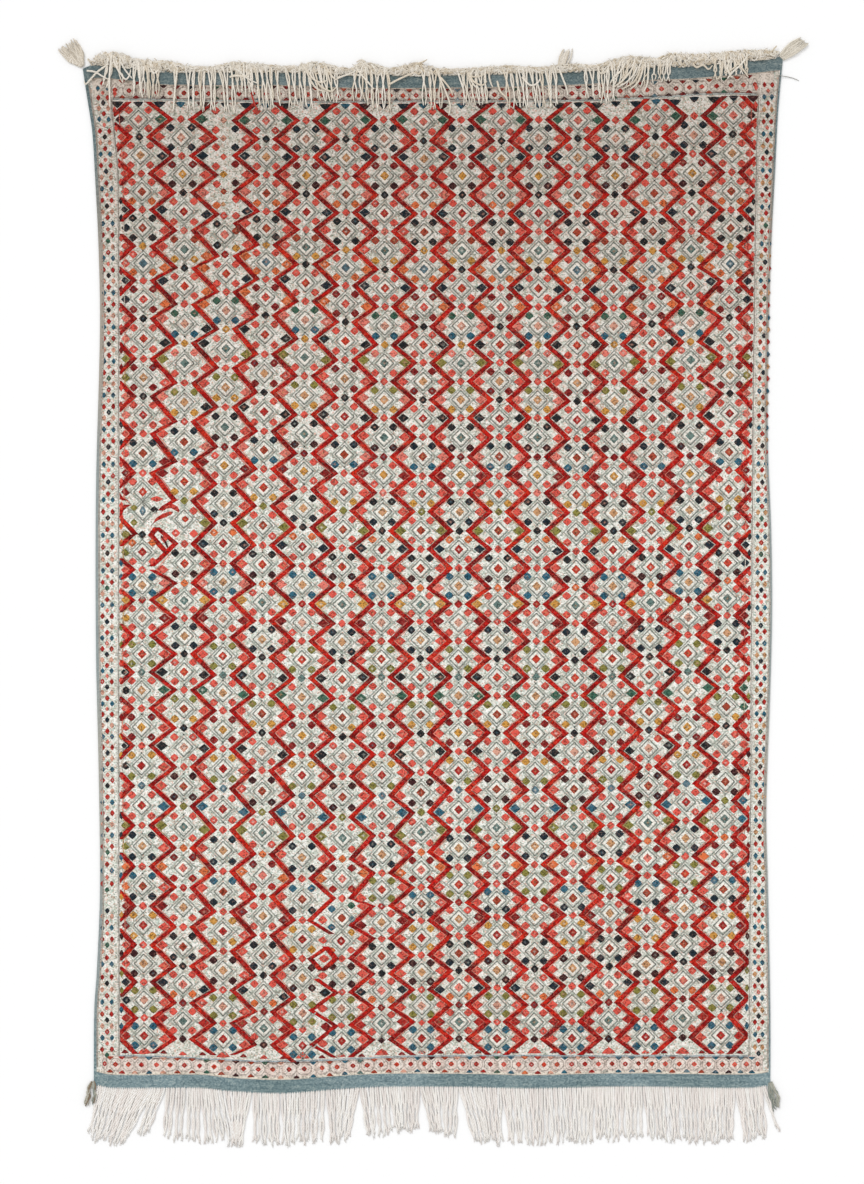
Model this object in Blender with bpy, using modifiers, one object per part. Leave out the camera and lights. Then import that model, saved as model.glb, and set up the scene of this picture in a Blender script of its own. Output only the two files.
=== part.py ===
"""A flat-woven wool rug with a fringe at each end, laid flat on the floor with its face up.

The cloth is one thin sheet with a slightly uneven outline and a few soft rises. Its warp ends are
left long: at the foot they lie out on the floor, at the head they stand in a lumpy ridge of loops and
fall back over the face. Each fringe grows from a narrow strip along the cloth's edge. The selvedge
cords end in a small tassel at each corner.

Units are metres and +Z is up. The rug's length runs along Y, its head towards +Y. The origin is under
the middle of the rug's bounding box, on the floor. The tables are in millimetres.
"""

import math

import bmesh
import bpy
from mathutils import Vector

MM = 0.001

# Driving dimensions of the cloth
CLOTH_THICKNESS = 0.003
CLOTH_COLUMNS = 20
CLOTH_ROWS = 30

# The cloth's outline, from its nominal middle: (place along the edge, place of the edge)
LEFT_EDGE = [
    # y mm, x mm
    (-1113, -764), (-945, -763), (-854, -757), (-673, -750), (-402, -753), (-131, -759), (231, -759),
    (592, -750), (773, -753), (954, -762), (1044, -768), (1123, -780), (1182, -789),
]
RIGHT_EDGE = [
    # y mm, x mm
    (-1115, 764), (-945, 764), (-673, 759), (-493, 755), (-221, 764), (-41, 768), (140, 766),
    (321, 759), (502, 759), (773, 766), (954, 775), (1089, 782), (1209, 793),
]
FOOT_EDGE = [
    # x mm, y mm
    (-764, -1113), (-723, -1121), (-524, -1121), (-457, -1128), (-339, -1133), (-224, -1125),
    (-120, -1119), (84, -1119), (212, -1122), (441, -1118), (716, -1121), (764, -1115),
]
HEAD_EDGE = [
    # x mm, y mm
    (-789, 1182), (-762, 1192), (-694, 1186), (-599, 1176), (-344, 1175), (-192, 1169), (41, 1169),
    (325, 1176), (495, 1187), (583, 1190), (721, 1202), (793, 1209),
]
SOFT_RISES = [
    # middle x mm, middle y mm, half length along x mm, half length along y mm, height mm
    (-468, 930, 170, 200, 2.4),
    (-600, 150, 140, 190, 2.2),
    (-235, -755, 190, 170, 2.2),
    (520, 420, 200, 260, 1.6),
    (430, -620, 260, 200, 1.6),
    (110, 760, 240, 190, 1.4),
]

# The fringe strands and the strips that they grow from
EDGE_GAP = 0.0004
STRIP_DEPTH = 0.004
STRIP_HEIGHT = 0.0032
STRAND_WIDTH = 0.006
STRAND_HEIGHT = 0.0034
STRAND_TIP = 0.5
LEAST_SPACING = 0.0036
SPACING_PASSES = 200
WIDTH_OF_SPACING = 0.78
REST_GAP = 0.0005
FOOT_BEND = 0.55
FOOT_UNEVEN = 0.004

FOOT_BUNCHES = [
    # first root x mm, last root x mm, first tip x mm, last tip x mm, strands
    (-751, -635, -774, -687, 13), (-629, -608, -660, -640, 3), (-597, -597, -606, -606, 1),
    (-586, -562, -594, -565, 3), (-549, -479, -551, -459, 8), (-467, -413, -452, -434, 6),
    (-400, -390, -401, -388, 2), (-379, -350, -375, -350, 4), (-336, -336, -334, -334, 1),
    (-323, -270, -323, -270, 6), (-258, -247, -262, -249, 2), (-235, -170, -226, -190, 7),
    (-159, -148, -145, -136, 2), (-136, -93, -130, -82, 5), (-83, -33, -72, -35, 6),
    (-22, 54, 0, 50, 8), (65, 152, 97, 157, 9), (162, 246, 176, 248, 9), (257, 278, 262, 284, 3),
    (289, 310, 297, 313, 3), (321, 332, 323, 334, 2), (343, 398, 343, 400, 7),
    (408, 470, 410, 472, 7), (481, 520, 491, 529, 5), (531, 592, 541, 597, 7),
    (602, 680, 608, 680, 9), (690, 742, 706, 752, 7), (751, 751, 780, 780, 1),
]
FOOT_TIPS = [
    # x mm, y mm
    (-776, -1222), (-768, -1234), (-714, -1243), (-642, -1223), (-570, -1236), (-443, -1245),
    (-389, -1248), (-208, -1238), (-63, -1216), (-9, -1218), (154, -1243), (244, -1241),
    (515, -1234), (606, -1241), (740, -1234), (780, -1218),
]
HEAD_BUNCHES = [
    # first root x mm, last root x mm, shift of the tips mm, reach down the face mm, strands
    (-766, -744, 0, 12, 3), (-733, -733, -36, 48, 1), (-721, -721, -9, 55, 1), (-709, -709, 8, 32, 1),
    (-697, -685, 0, 13, 2), (-672, -619, 0, 58, 6), (-607, -590, 0, 12, 2), (-578, -578, -4, 69, 1),
    (-564, -564, 0, 12, 1), (-550, -490, 2, 87, 6), (-478, -452, 8, 91, 3), (-440, -407, 4, 46, 4),
    (-396, -353, 9, 81, 5), (-341, -341, 0, 12, 1), (-327, -277, 8, 77, 5), (-266, -219, 8, 60, 5),
    (-207, -188, 0, 13, 2), (-175, -175, 0, 57, 1), (-162, -150, 5, 66, 2), (-138, -99, 2, 80, 4),
    (-86, -32, -6, 16, 5), (-19, 18, 2, 73, 4), (29, 52, 0, 14, 3), (63, 118, 9, 66, 6),
    (129, 154, 0, 15, 3), (166, 257, 9, 77, 9), (267, 278, 2, 77, 2), (330, 330, 0, 14, 1),
    (346, 374, 3, 62, 3), (386, 410, 0, 74, 3), (421, 486, -12, 42, 7), (501, 536, 0, 34, 4),
    (547, 575, 0, 14, 3), (587, 628, 0, 17, 5), (639, 662, 0, 34, 3), (673, 708, 0, 30, 4),
    (720, 772, 0, 13, 6),
]
HEAD_TUFT = (287, 321, 44, 5)
RIDGE = [
    # x mm, y mm of the loops' outer side
    (-773, 1205), (-739, 1220), (-705, 1218), (-660, 1205), (-592, 1200), (-547, 1189), (-490, 1189),
    (-445, 1198), (-389, 1193), (-321, 1189), (-264, 1198), (-185, 1184), (-158, 1200), (-140, 1196),
    (-95, 1184), (-38, 1196), (18, 1183), (86, 1184), (165, 1189), (244, 1186), (285, 1192),
    (334, 1193), (368, 1191), (402, 1202), (447, 1211), (508, 1207), (538, 1217), (617, 1216),
    (673, 1222), (730, 1225), (768, 1225), (793, 1222),
]
LEAST_LOOP = 0.009
LOOP_SWELL = 0.4
LOOP_BACK = 0.3
RIDGE_TOP = 0.0125
RIDGE_UNEVEN = 0.002
LANDING = 0.018
LEAN_AT_LANDING = 0.3

# The corner tassels, each on a small flat head at its corner of the cloth
TASSEL_CELL = 0.0011
TASSEL_HEAD_DEPTH = 0.007
TASSEL_HEAD_HEIGHT = 0.006
TASSEL_SET_OFF = 0.0006
TASSEL_FILL = 0.6
TASSELS = {
    # name: (root x, root y, one tip x, one tip y, other tip x, other tip y, strands), mm
    "corner_tassel_top_left": (-789, 1182, -838, 1223, -815, 1250, 7),
    "corner_tassel_top_right": (793, 1209, 836, 1252, 847, 1238, 5),
    "corner_tassel_bottom_left": (-764, -1113, -790, -1163, -777, -1161, 4),
    "corner_tassel_bottom_right": (763, -1115.4, 776, -1172, 786, -1169, 3),
}

COLLECTION = "berber_rug"
WOOL = {
    # name: (red, green, blue, roughness), linear
    "woven wool": (0.55, 0.33, 0.27, 0.95),
    "cream warp yarn": (0.71, 0.66, 0.56, 0.95),
    "grey selvedge cord": (0.40, 0.42, 0.40, 0.95),
}


def along(table, at):
    """The smooth curve through a table's points, read at one place."""
    at = min(max(at, table[0][0]), table[-1][0])
    step = 0
    while step < len(table) - 2 and at > table[step + 1][0]:
        step += 1

    def slope(index):
        low = table[max(index - 1, 0)]
        high = table[min(index + 1, len(table) - 1)]
        return (high[1] - low[1]) / (high[0] - low[0])

    (start, first), (end, last) = table[step], table[step + 1]
    run = end - start
    t = (at - start) / run
    ease = t * t * (3 - 2 * t)
    bend = slope(step) * run * t * (1 - t) ** 2 - slope(step + 1) * run * t * t * (1 - t)
    return first + (last - first) * ease + bend


def cloth_place(u, v):
    """Where a point of the weave lies: u runs across from the left, v up from the foot, both 0 to 1."""
    foot_x = FOOT_EDGE[0][0] + (FOOT_EDGE[-1][0] - FOOT_EDGE[0][0]) * u
    head_x = HEAD_EDGE[0][0] + (HEAD_EDGE[-1][0] - HEAD_EDGE[0][0]) * u
    left_y = LEFT_EDGE[0][0] + (LEFT_EDGE[-1][0] - LEFT_EDGE[0][0]) * v
    right_y = RIGHT_EDGE[0][0] + (RIGHT_EDGE[-1][0] - RIGHT_EDGE[0][0]) * v
    foot = Vector((foot_x, along(FOOT_EDGE, foot_x)))
    head = Vector((head_x, along(HEAD_EDGE, head_x)))
    left = Vector((along(LEFT_EDGE, left_y), left_y))
    right = Vector((along(RIGHT_EDGE, right_y), right_y))
    across = left.lerp(right, u)
    upward = foot.lerp(head, v)
    foot_corners = Vector(FOOT_EDGE[0]).lerp(Vector(FOOT_EDGE[-1]), u)
    head_corners = Vector(HEAD_EDGE[0]).lerp(Vector(HEAD_EDGE[-1]), u)
    return (across + upward - foot_corners.lerp(head_corners, v)) * MM


def rise(x, y):
    """How far the cloth lifts off the floor, in metres."""
    total = 0.0
    for middle_x, middle_y, half_x, half_y, height in SOFT_RISES:
        off_x = (x / MM - middle_x) / half_x
        off_y = (y / MM - middle_y) / half_y
        if abs(off_x) < 1 and abs(off_y) < 1:
            total += height * math.cos(off_x * math.pi / 2) ** 2 * math.cos(off_y * math.pi / 2) ** 2
    return total * MM


def edge_line(v):
    """The foot or the head edge as the sheet has it, one point for each column of its grid."""
    return [cloth_place(column / CLOTH_COLUMNS, v) for column in range(CLOTH_COLUMNS + 1)]


def height_of(line, x):
    """The y of a line of points at x."""
    for low, high in zip(line, line[1:]):
        if x <= high.x or high is line[-1]:
            return low.y + (high.y - low.y) * (x - low.x) / (high.x - low.x)


def wool(name):
    """The plain material of one kind of yarn."""
    material = bpy.data.materials.get(name)
    if material is None:
        red, green, blue, roughness = WOOL[name]
        material = bpy.data.materials.new(name)
        material.use_nodes = True
        shader = material.node_tree.nodes["Principled BSDF"]
        shader.inputs["Base Color"].default_value = (red, green, blue, 1.0)
        shader.inputs["Roughness"].default_value = roughness
        shader.inputs["Metallic"].default_value = 0.0
    return material


def add_object(name, bm, material):
    """One named object in the rug's collection, from a finished bmesh."""
    mesh = bpy.data.meshes.new(name)
    bm.to_mesh(mesh)
    bm.free()
    mesh.materials.append(wool(material))
    thing = bpy.data.objects.new(name, mesh)
    bpy.data.collections[COLLECTION].objects.link(thing)
    return thing


def spread(first, last, count):
    """Evenly spaced places from the first to the last."""
    if count == 1:
        return [(first + last) / 2]
    return [first + (last - first) * index / (count - 1) for index in range(count)]


def spaced(places):
    """Ordered places, eased apart until no two neighbours are closer than the least spacing."""
    places = sorted(places)
    for _ in range(SPACING_PASSES):
        for index in range(len(places) - 1):
            short = LEAST_SPACING - (places[index + 1] - places[index])
            if short > 0:
                places[index] -= short / 2
                places[index + 1] += short / 2
    return places


def widths(places):
    """How wide the strand at each place can be and still stand apart from its neighbours."""
    result = []
    for index, place in enumerate(places):
        near = [abs(other - place) for other in places[max(index - 1, 0):index + 2] if other != place]
        result.append(min(STRAND_WIDTH, WIDTH_OF_SPACING * min(near)))
    return result


def section(x, y, z, across, up, width, height):
    """One cross-section of a strand: its middle, its two unit directions and its two sizes."""
    return Vector((x, y, z)), Vector(across), Vector(up), width, height


def grow(bm, face, sections):
    """Draw one face of a strip out into a four-sided strand through its cross-sections."""
    middle, across, up = sections[0][:3]
    for place, new_across, new_up, width, height in sections[1:]:
        face = bmesh.ops.extrude_discrete_faces(bm, faces=[face])["faces"][0]
        for vert in face.verts:
            side = math.copysign(width / 2, (vert.co - middle).dot(across))
            level = math.copysign(height / 2, (vert.co - middle).dot(up))
            vert.co = place + new_across * side + new_up * level
        middle, across, up = place, new_across, new_up


def strip_with_strands(name, material, cuts, height, strands):
    """A narrow strip, cut into cells, whose odd cells each carry a strand on their outer side.

    cuts holds the strip's inner and outer point at each cell's end, in order.
    """
    cells = len(cuts) - 1
    bm = bmesh.new()
    bmesh.ops.create_grid(bm, x_segments=cells, y_segments=1, size=0.5)
    raised = bmesh.ops.extrude_face_region(bm, geom=list(bm.faces))["geom"]
    upper = {item for item in raised if isinstance(item, bmesh.types.BMVert)}
    outer_faces = {}
    for face in bm.faces:
        levels = {vert in upper for vert in face.verts}
        if len(levels) == 2 and all(vert.co.y > 0 for vert in face.verts):
            outer_faces[round((face.calc_center_median().x + 0.5) * cells - 0.5)] = face
    for vert in bm.verts:
        inner, outer = cuts[round((vert.co.x + 0.5) * cells)]
        place = outer if vert.co.y > 0 else inner
        vert.co = (place.x, place.y, height if vert in upper else 0.0)
    for index, sections in enumerate(strands):
        grow(bm, outer_faces[2 * index + 1], sections)
    bmesh.ops.recalc_face_normals(bm, faces=list(bm.faces))
    return add_object(name, bm, material)


def strip_cuts(line, roots, outward):
    """The cell ends of a fringe strip that follows an edge line, and each strand's root middle."""
    half = [width / 2 for width in widths(roots)]
    ends = [roots[0] - half[0] - STRIP_DEPTH / 2]
    for root, reach in zip(roots, half):
        ends += [root - reach, root + reach]
    ends.append(roots[-1] + half[-1] + STRIP_DEPTH / 2)
    cuts = []
    for x in ends:
        inner = height_of(line, x) + outward * EDGE_GAP
        cuts.append((Vector((x, inner)), Vector((x, inner + outward * STRIP_DEPTH))))
    return cuts


def make_cloth():
    """The woven sheet: a grid laid to the outline and its soft rises, then given its thickness."""
    bm = bmesh.new()
    bmesh.ops.create_grid(bm, x_segments=CLOTH_COLUMNS, y_segments=CLOTH_ROWS, size=0.5)
    for vert in bm.verts:
        place = cloth_place(vert.co.x + 0.5, vert.co.y + 0.5)
        vert.co = (place.x, place.y, rise(place.x, place.y))
    cloth = add_object("rug_cloth", bm, "woven wool")
    thicken = cloth.modifiers.new("weave thickness", "SOLIDIFY")
    thicken.thickness = CLOTH_THICKNESS
    thicken.offset = 1.0
    return cloth


def make_foot_fringe():
    """Warp ends lying out on the floor from the foot edge, in bunches."""
    roots = []
    tips = []
    for first_root, last_root, first_tip, last_tip, count in FOOT_BUNCHES:
        roots += [x * MM for x in spread(first_root, last_root, count)]
        tips += [x * MM for x in spread(first_tip, last_tip, count)]
    roots = spaced(roots)
    tips = spaced(tips)
    middles = spaced([root + (tip - root) * FOOT_BEND for root, tip in zip(roots, tips)])
    line = edge_line(0.0)
    across, up = (1, 0, 0), (0, 0, 1)
    root_widths, middle_widths, tip_widths = widths(roots), widths(middles), widths(tips)
    strands = []
    for index, (root, middle, tip) in enumerate(zip(roots, middles, tips)):
        edge = height_of(line, root) - EDGE_GAP - STRIP_DEPTH
        end = along(FOOT_TIPS, tip / MM) * MM + FOOT_UNEVEN * math.sin(index * 2.4)
        low = STRAND_HEIGHT / 2
        strands.append([
            section(root, edge, STRIP_HEIGHT / 2, across, up, root_widths[index], STRIP_HEIGHT),
            section(middle, edge + (end - edge) * FOOT_BEND, low, across, up,
                    middle_widths[index], STRAND_HEIGHT),
            section(tip, end, low * STRAND_TIP, across, up,
                    tip_widths[index] * STRAND_TIP, STRAND_HEIGHT * STRAND_TIP),
        ])
    cuts = strip_cuts(line, roots, -1)
    return strip_with_strands("bottom_fringe", "cream warp yarn", cuts, STRIP_HEIGHT, strands)


def make_head_fringe():
    """Warp ends at the head edge: loops that stand in a ridge and fall back over the face."""
    rows = []
    for first, last, shift, reach, count in HEAD_BUNCHES:
        for root in spread(first, last, count):
            rows.append((root * MM, (root + shift) * MM, reach * MM))
    first, last, out, count = HEAD_TUFT
    for root in spread(first, last, count):
        rows.append((root * MM, root * MM, -out * MM))
    rows.sort()
    roots = spaced([row[0] for row in rows])
    tips = spaced([row[1] for row in rows])
    line = edge_line(1.0)
    x_way, z_way, back_way, down_way = (1, 0, 0), (0, 0, 1), (0, -1, 0), (0, 0, -1)
    root_widths, tip_widths = widths(roots), widths(tips)
    lying = CLOTH_THICKNESS + REST_GAP + STRAND_HEIGHT / 2
    strands = []
    for index, (root, tip, reach) in enumerate(zip(roots, tips, [row[2] for row in rows])):
        width, tip_width = root_widths[index], tip_widths[index]
        edge = height_of(line, root)
        start = edge + EDGE_GAP + STRIP_DEPTH
        path = [section(root, start, STRIP_HEIGHT / 2, x_way, z_way, width, STRIP_HEIGHT)]
        if reach < 0:
            end = edge - reach
            path.append(section(root, (start + end) / 2, STRAND_HEIGHT / 2, x_way, z_way,
                                width, STRAND_HEIGHT))
            path.append(section(tip, end, STRAND_HEIGHT * STRAND_TIP / 2, x_way, z_way,
                                width * STRAND_TIP, STRAND_HEIGHT * STRAND_TIP))
            strands.append(path)
            continue
        uneven = RIDGE_UNEVEN * math.sin(index * 1.9)
        ridge = max(along(RIDGE, root / MM) * MM + uneven, start + LEAST_LOOP)
        top = RIDGE_TOP + uneven
        path.append(section(root, start + (ridge - start) * LOOP_SWELL, STRAND_HEIGHT / 2, x_way, z_way,
                            width, STRAND_HEIGHT))
        path.append(section(root, ridge - STRAND_HEIGHT / 2, top / 2 + STRAND_HEIGHT / 4, x_way,
                            back_way, width, STRAND_HEIGHT))
        path.append(section(root, start + (ridge - start) * LOOP_BACK, top - STRAND_HEIGHT / 2, x_way,
                            down_way, width, STRAND_HEIGHT))
        if reach > LANDING:
            lean = (tip - root) * LEAN_AT_LANDING
            path.append(section(root + lean, edge - LANDING, lying, x_way, down_way, width,
                                STRAND_HEIGHT))
        end_height = STRAND_HEIGHT * STRAND_TIP
        end_level = CLOTH_THICKNESS + REST_GAP + end_height / 2
        path.append(section(tip, edge - reach, end_level, x_way, down_way,
                            tip_width * STRAND_TIP, end_height))
        strands.append(path)
    cuts = strip_cuts(line, roots, 1)
    return strip_with_strands("top_fringe", "cream warp yarn", cuts, STRIP_HEIGHT, strands)


def make_tassel(name, root_x, root_y, tip_x, tip_y, other_x, other_y, count):
    """The loose end of a selvedge cord: a small flat head and a few strands fanned on the floor."""
    root = Vector((root_x, root_y)) * MM
    tip = Vector((tip_x, tip_y)) * MM
    other = Vector((other_x, other_y)) * MM
    forward = ((tip + other) / 2 - root).normalized()
    sideways = Vector((forward.y, -forward.x))
    if (other - tip).dot(sideways) < 0:
        tip, other = other, tip
    root = root + forward * TASSEL_SET_OFF
    cell = TASSEL_CELL
    cuts = []
    for index in range(2 * count + 2):
        inner = root + sideways * cell * (index - count - 0.5)
        cuts.append((inner, inner + forward * TASSEL_HEAD_DEPTH))
    across = (sideways.x, sideways.y, 0)
    up = (0, 0, 1)
    height = TASSEL_HEAD_HEIGHT
    strands = []
    for index in range(count):
        start = (cuts[2 * index + 1][1] + cuts[2 * index + 2][1]) / 2
        end = tip.lerp(other, index / (count - 1))
        apart = (other - tip).length / (count - 1)
        middle = start.lerp(end, 0.5)
        width = min((cell * 2 + apart) / 2, STRAND_WIDTH) * TASSEL_FILL
        end_width = min(apart, STRAND_WIDTH) * TASSEL_FILL
        strands.append([
            section(start.x, start.y, height / 2, across, up, cell, height),
            section(middle.x, middle.y, STRAND_HEIGHT / 2, across, up, width, STRAND_HEIGHT),
            section(end.x, end.y, STRAND_HEIGHT / 4, across, up, end_width, STRAND_HEIGHT / 2),
        ])
    yarn = "cream warp yarn" if "top" in name else "grey selvedge cord"
    return strip_with_strands(name, yarn, cuts, height, strands)


def centre_on_origin(things):
    """Move every piece so that the origin lies under the middle of the whole rug."""
    corners = [vert.co for thing in things for vert in thing.data.vertices]
    middle_x = (min(corner.x for corner in corners) + max(corner.x for corner in corners)) / 2
    middle_y = (min(corner.y for corner in corners) + max(corner.y for corner in corners)) / 2
    for thing in things:
        for vert in thing.data.vertices:
            vert.co.x -= middle_x
            vert.co.y -= middle_y


def main():
    for thing in list(bpy.data.objects):
        bpy.data.objects.remove(thing, do_unlink=True)
    collection = bpy.data.collections.new(COLLECTION)
    bpy.context.scene.collection.children.link(collection)
    things = [make_cloth(), make_foot_fringe(), make_head_fringe()]
    things += [make_tassel(name, *sizes) for name, sizes in TASSELS.items()]
    centre_on_origin(things)


main()
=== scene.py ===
"""The looks of a hand-woven Berber flat-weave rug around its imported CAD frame.

The rug lies flat with its face up and its head towards +Y. The tables are in millimetres from the middle
of the weave as it was measured, and OFF_CENTRE brings them to the frame's origin.
"""

import math
import random

import bmesh
import bpy
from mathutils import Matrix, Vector, noise


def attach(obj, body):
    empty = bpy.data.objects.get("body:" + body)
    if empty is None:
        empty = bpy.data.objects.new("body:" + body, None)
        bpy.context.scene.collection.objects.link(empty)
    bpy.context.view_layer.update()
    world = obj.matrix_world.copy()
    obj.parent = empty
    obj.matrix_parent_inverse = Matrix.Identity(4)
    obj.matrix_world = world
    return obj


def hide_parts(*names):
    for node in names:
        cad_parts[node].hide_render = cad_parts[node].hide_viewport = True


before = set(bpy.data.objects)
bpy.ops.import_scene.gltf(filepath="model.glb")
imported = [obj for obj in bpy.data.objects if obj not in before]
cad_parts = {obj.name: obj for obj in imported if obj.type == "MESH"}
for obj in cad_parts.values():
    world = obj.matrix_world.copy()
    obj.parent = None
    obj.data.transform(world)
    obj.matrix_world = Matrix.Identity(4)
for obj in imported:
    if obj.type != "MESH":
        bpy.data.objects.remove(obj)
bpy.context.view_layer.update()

# The woven sheet: one cloth of wool weft beaten down over wool warp, cream in the field, with a blue
# band at each end and a narrow blue selvedge along each side. It lies flat with a few soft rises.
MM = 0.001
OFF_CENTRE = Vector((-4.17, -0.75)) * MM
SHEET_THICKNESS = 3 * MM
SHEET_WIDTH = 1.552
SHEET_LENGTH = 2.322
SHEET_COLUMNS = 136
SHEET_ROWS = 210
HEAD_BAND = 0.0130
FOOT_BAND = 0.0134
LEFT_SELVEDGE = 0.0042
RIGHT_SELVEDGE = 0.0024

LEFT_EDGE = [
    # y, x
    (-1113, -764), (-945, -763), (-854, -757), (-673, -750), (-402, -753), (-131, -759), (231, -759),
    (592, -750), (773, -753), (954, -762), (1044, -768), (1123, -780), (1182, -789),
]
RIGHT_EDGE = [
    # y, x
    (-1115, 764), (-945, 764), (-673, 759), (-493, 755), (-221, 764), (-41, 768), (140, 766),
    (321, 759), (502, 759), (773, 766), (954, 775), (1089, 782), (1209, 793),
]
FOOT_EDGE = [
    # x, y
    (-764, -1113), (-723, -1121), (-524, -1121), (-457, -1128), (-339, -1133), (-224, -1125),
    (-120, -1119), (84, -1119), (212, -1122), (441, -1118), (716, -1121), (764, -1115),
]
HEAD_EDGE = [
    # x, y
    (-789, 1182), (-762, 1192), (-694, 1186), (-599, 1176), (-344, 1175), (-192, 1169), (41, 1169),
    (325, 1176), (495, 1187), (583, 1190), (721, 1202), (793, 1209),
]
SOFT_RISES = [
    # middle x, middle y, half length along x, half length along y, height
    (-468, 930, 170, 200, 2.4),
    (-600, 150, 140, 190, 2.2),
    (-235, -755, 190, 170, 2.2),
    (520, 420, 200, 260, 1.6),
    (430, -620, 260, 200, 1.6),
    (110, 760, 240, 190, 1.4),
]


def along(table, at):
    """The smooth curve through a table's points, read at one place."""
    at = min(max(at, table[0][0]), table[-1][0])
    step = 0
    while step < len(table) - 2 and at > table[step + 1][0]:
        step += 1

    def slope(index):
        low = table[max(index - 1, 0)]
        high = table[min(index + 1, len(table) - 1)]
        return (high[1] - low[1]) / (high[0] - low[0])

    (start, first), (end, last) = table[step], table[step + 1]
    run = end - start
    t = (at - start) / run
    ease = t * t * (3 - 2 * t)
    bend = slope(step) * run * t * (1 - t) ** 2 - slope(step + 1) * run * t * t * (1 - t)
    return first + (last - first) * ease + bend


def cloth_place(u, v):
    """Where a point of the weave lies, in mm: u runs across from the left, v up from the foot."""
    foot_x = FOOT_EDGE[0][0] + (FOOT_EDGE[-1][0] - FOOT_EDGE[0][0]) * u
    head_x = HEAD_EDGE[0][0] + (HEAD_EDGE[-1][0] - HEAD_EDGE[0][0]) * u
    left_y = LEFT_EDGE[0][0] + (LEFT_EDGE[-1][0] - LEFT_EDGE[0][0]) * v
    right_y = RIGHT_EDGE[0][0] + (RIGHT_EDGE[-1][0] - RIGHT_EDGE[0][0]) * v
    foot = Vector((foot_x, along(FOOT_EDGE, foot_x)))
    head = Vector((head_x, along(HEAD_EDGE, head_x)))
    left = Vector((along(LEFT_EDGE, left_y), left_y))
    right = Vector((along(RIGHT_EDGE, right_y), right_y))
    foot_corners = Vector(FOOT_EDGE[0]).lerp(Vector(FOOT_EDGE[-1]), u)
    head_corners = Vector(HEAD_EDGE[0]).lerp(Vector(HEAD_EDGE[-1]), u)
    return left.lerp(right, u) + foot.lerp(head, v) - foot_corners.lerp(head_corners, v)


def rise(x, y):
    """How far the cloth lifts off the floor at a place in mm, in metres."""
    total = 0.0
    for middle_x, middle_y, half_x, half_y, height in SOFT_RISES:
        off_x = (x - middle_x) / half_x
        off_y = (y - middle_y) / half_y
        if abs(off_x) < 1 and abs(off_y) < 1:
            total += height * math.cos(off_x * math.pi / 2) ** 2 * math.cos(off_y * math.pi / 2) ** 2
    return total * MM


def in_frame(x, y, above=0.0):
    """A place in mm and a height over the cloth's face in mm, as a point of the CAD frame."""
    return Vector((x * MM + OFF_CENTRE.x, y * MM + OFF_CENTRE.y, rise(x, y) + SHEET_THICKNESS + above * MM))


def linear(code):
    """An sRGB hex colour as linear red, green, blue and alpha."""
    parts = [int(code[index:index + 2], 16) / 255 for index in (0, 2, 4)]
    return [part / 12.92 if part <= 0.04045 else ((part + 0.055) / 1.055) ** 2.4 for part in parts] + [1.0]


def add_node(tree, kind, inputs=None, stops=(), **settings):
    """Add one shader node with its settings, its input values, its links and a ramp's (place, hex) stops."""
    node = tree.nodes.new("ShaderNode" + kind)
    for name, value in settings.items():
        setattr(node, name, value)
    while stops and len(node.color_ramp.elements) < len(stops):
        node.color_ramp.elements.new(0.5)
    for index, (place, code) in enumerate(stops):
        node.color_ramp.elements[index].position = place
        node.color_ramp.elements[index].color = linear(code)
    for name, value in (inputs or {}).items():
        socket = node.inputs[name]
        if isinstance(value, bpy.types.NodeSocket):
            tree.links.new(value, socket)
        else:
            socket.default_value = value
    return node


def new_material(name, roughness, sheen):
    """An empty wool material and its tree, whose shader has the given roughness and sheen."""
    material = bpy.data.materials.new(name)
    material.use_nodes = True
    tree = material.node_tree
    shader = tree.nodes["Principled BSDF"]
    shader.inputs["Roughness"].default_value = roughness
    shader.inputs["IOR"].default_value = 1.5
    shader.inputs["Specular IOR Level"].default_value = 0.15
    shader.inputs["Sheen Weight"].default_value = sheen
    shader.inputs["Sheen Roughness"].default_value = 0.5
    return material, tree, shader


def stitches(tree, across, down):
    """Two random values and a height for each stitch of the weave, so wide and tall in metres."""
    place = add_node(tree, "TexCoord").outputs["Object"]
    scaled = add_node(tree, "Mapping", {"Vector": place, "Scale": (1 / across, 1 / down, 0.0)})
    cells = add_node(tree, "TexVoronoi", {"Vector": scaled.outputs[0], "Scale": 1.0, "Randomness": 0.75},
                     voronoi_dimensions="2D")
    apart = add_node(tree, "SeparateColor", {"Color": cells.outputs["Color"]})
    return apart.outputs["Red"], apart.outputs["Green"], cells.outputs["Distance"]


def weave_height(tree, across, down):
    """The height of a plain weave whose threads are this wide in metres, from the cloth's own map."""
    place = add_node(tree, "UVMap", uv_map="weave").outputs["UV"]
    apart = add_node(tree, "SeparateXYZ", {"Vector": place})
    turn = []
    for axis, width in (("X", across), ("Y", down)):
        scaled = add_node(tree, "Math", {0: apart.outputs[axis], 1: math.pi / width}, operation="MULTIPLY")
        turn.append(add_node(tree, "Math", {0: scaled.outputs[0]}, operation="SINE").outputs[0])
    return add_node(tree, "Math", {0: turn[0], 1: turn[1]}, operation="MULTIPLY").outputs[0]


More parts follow.
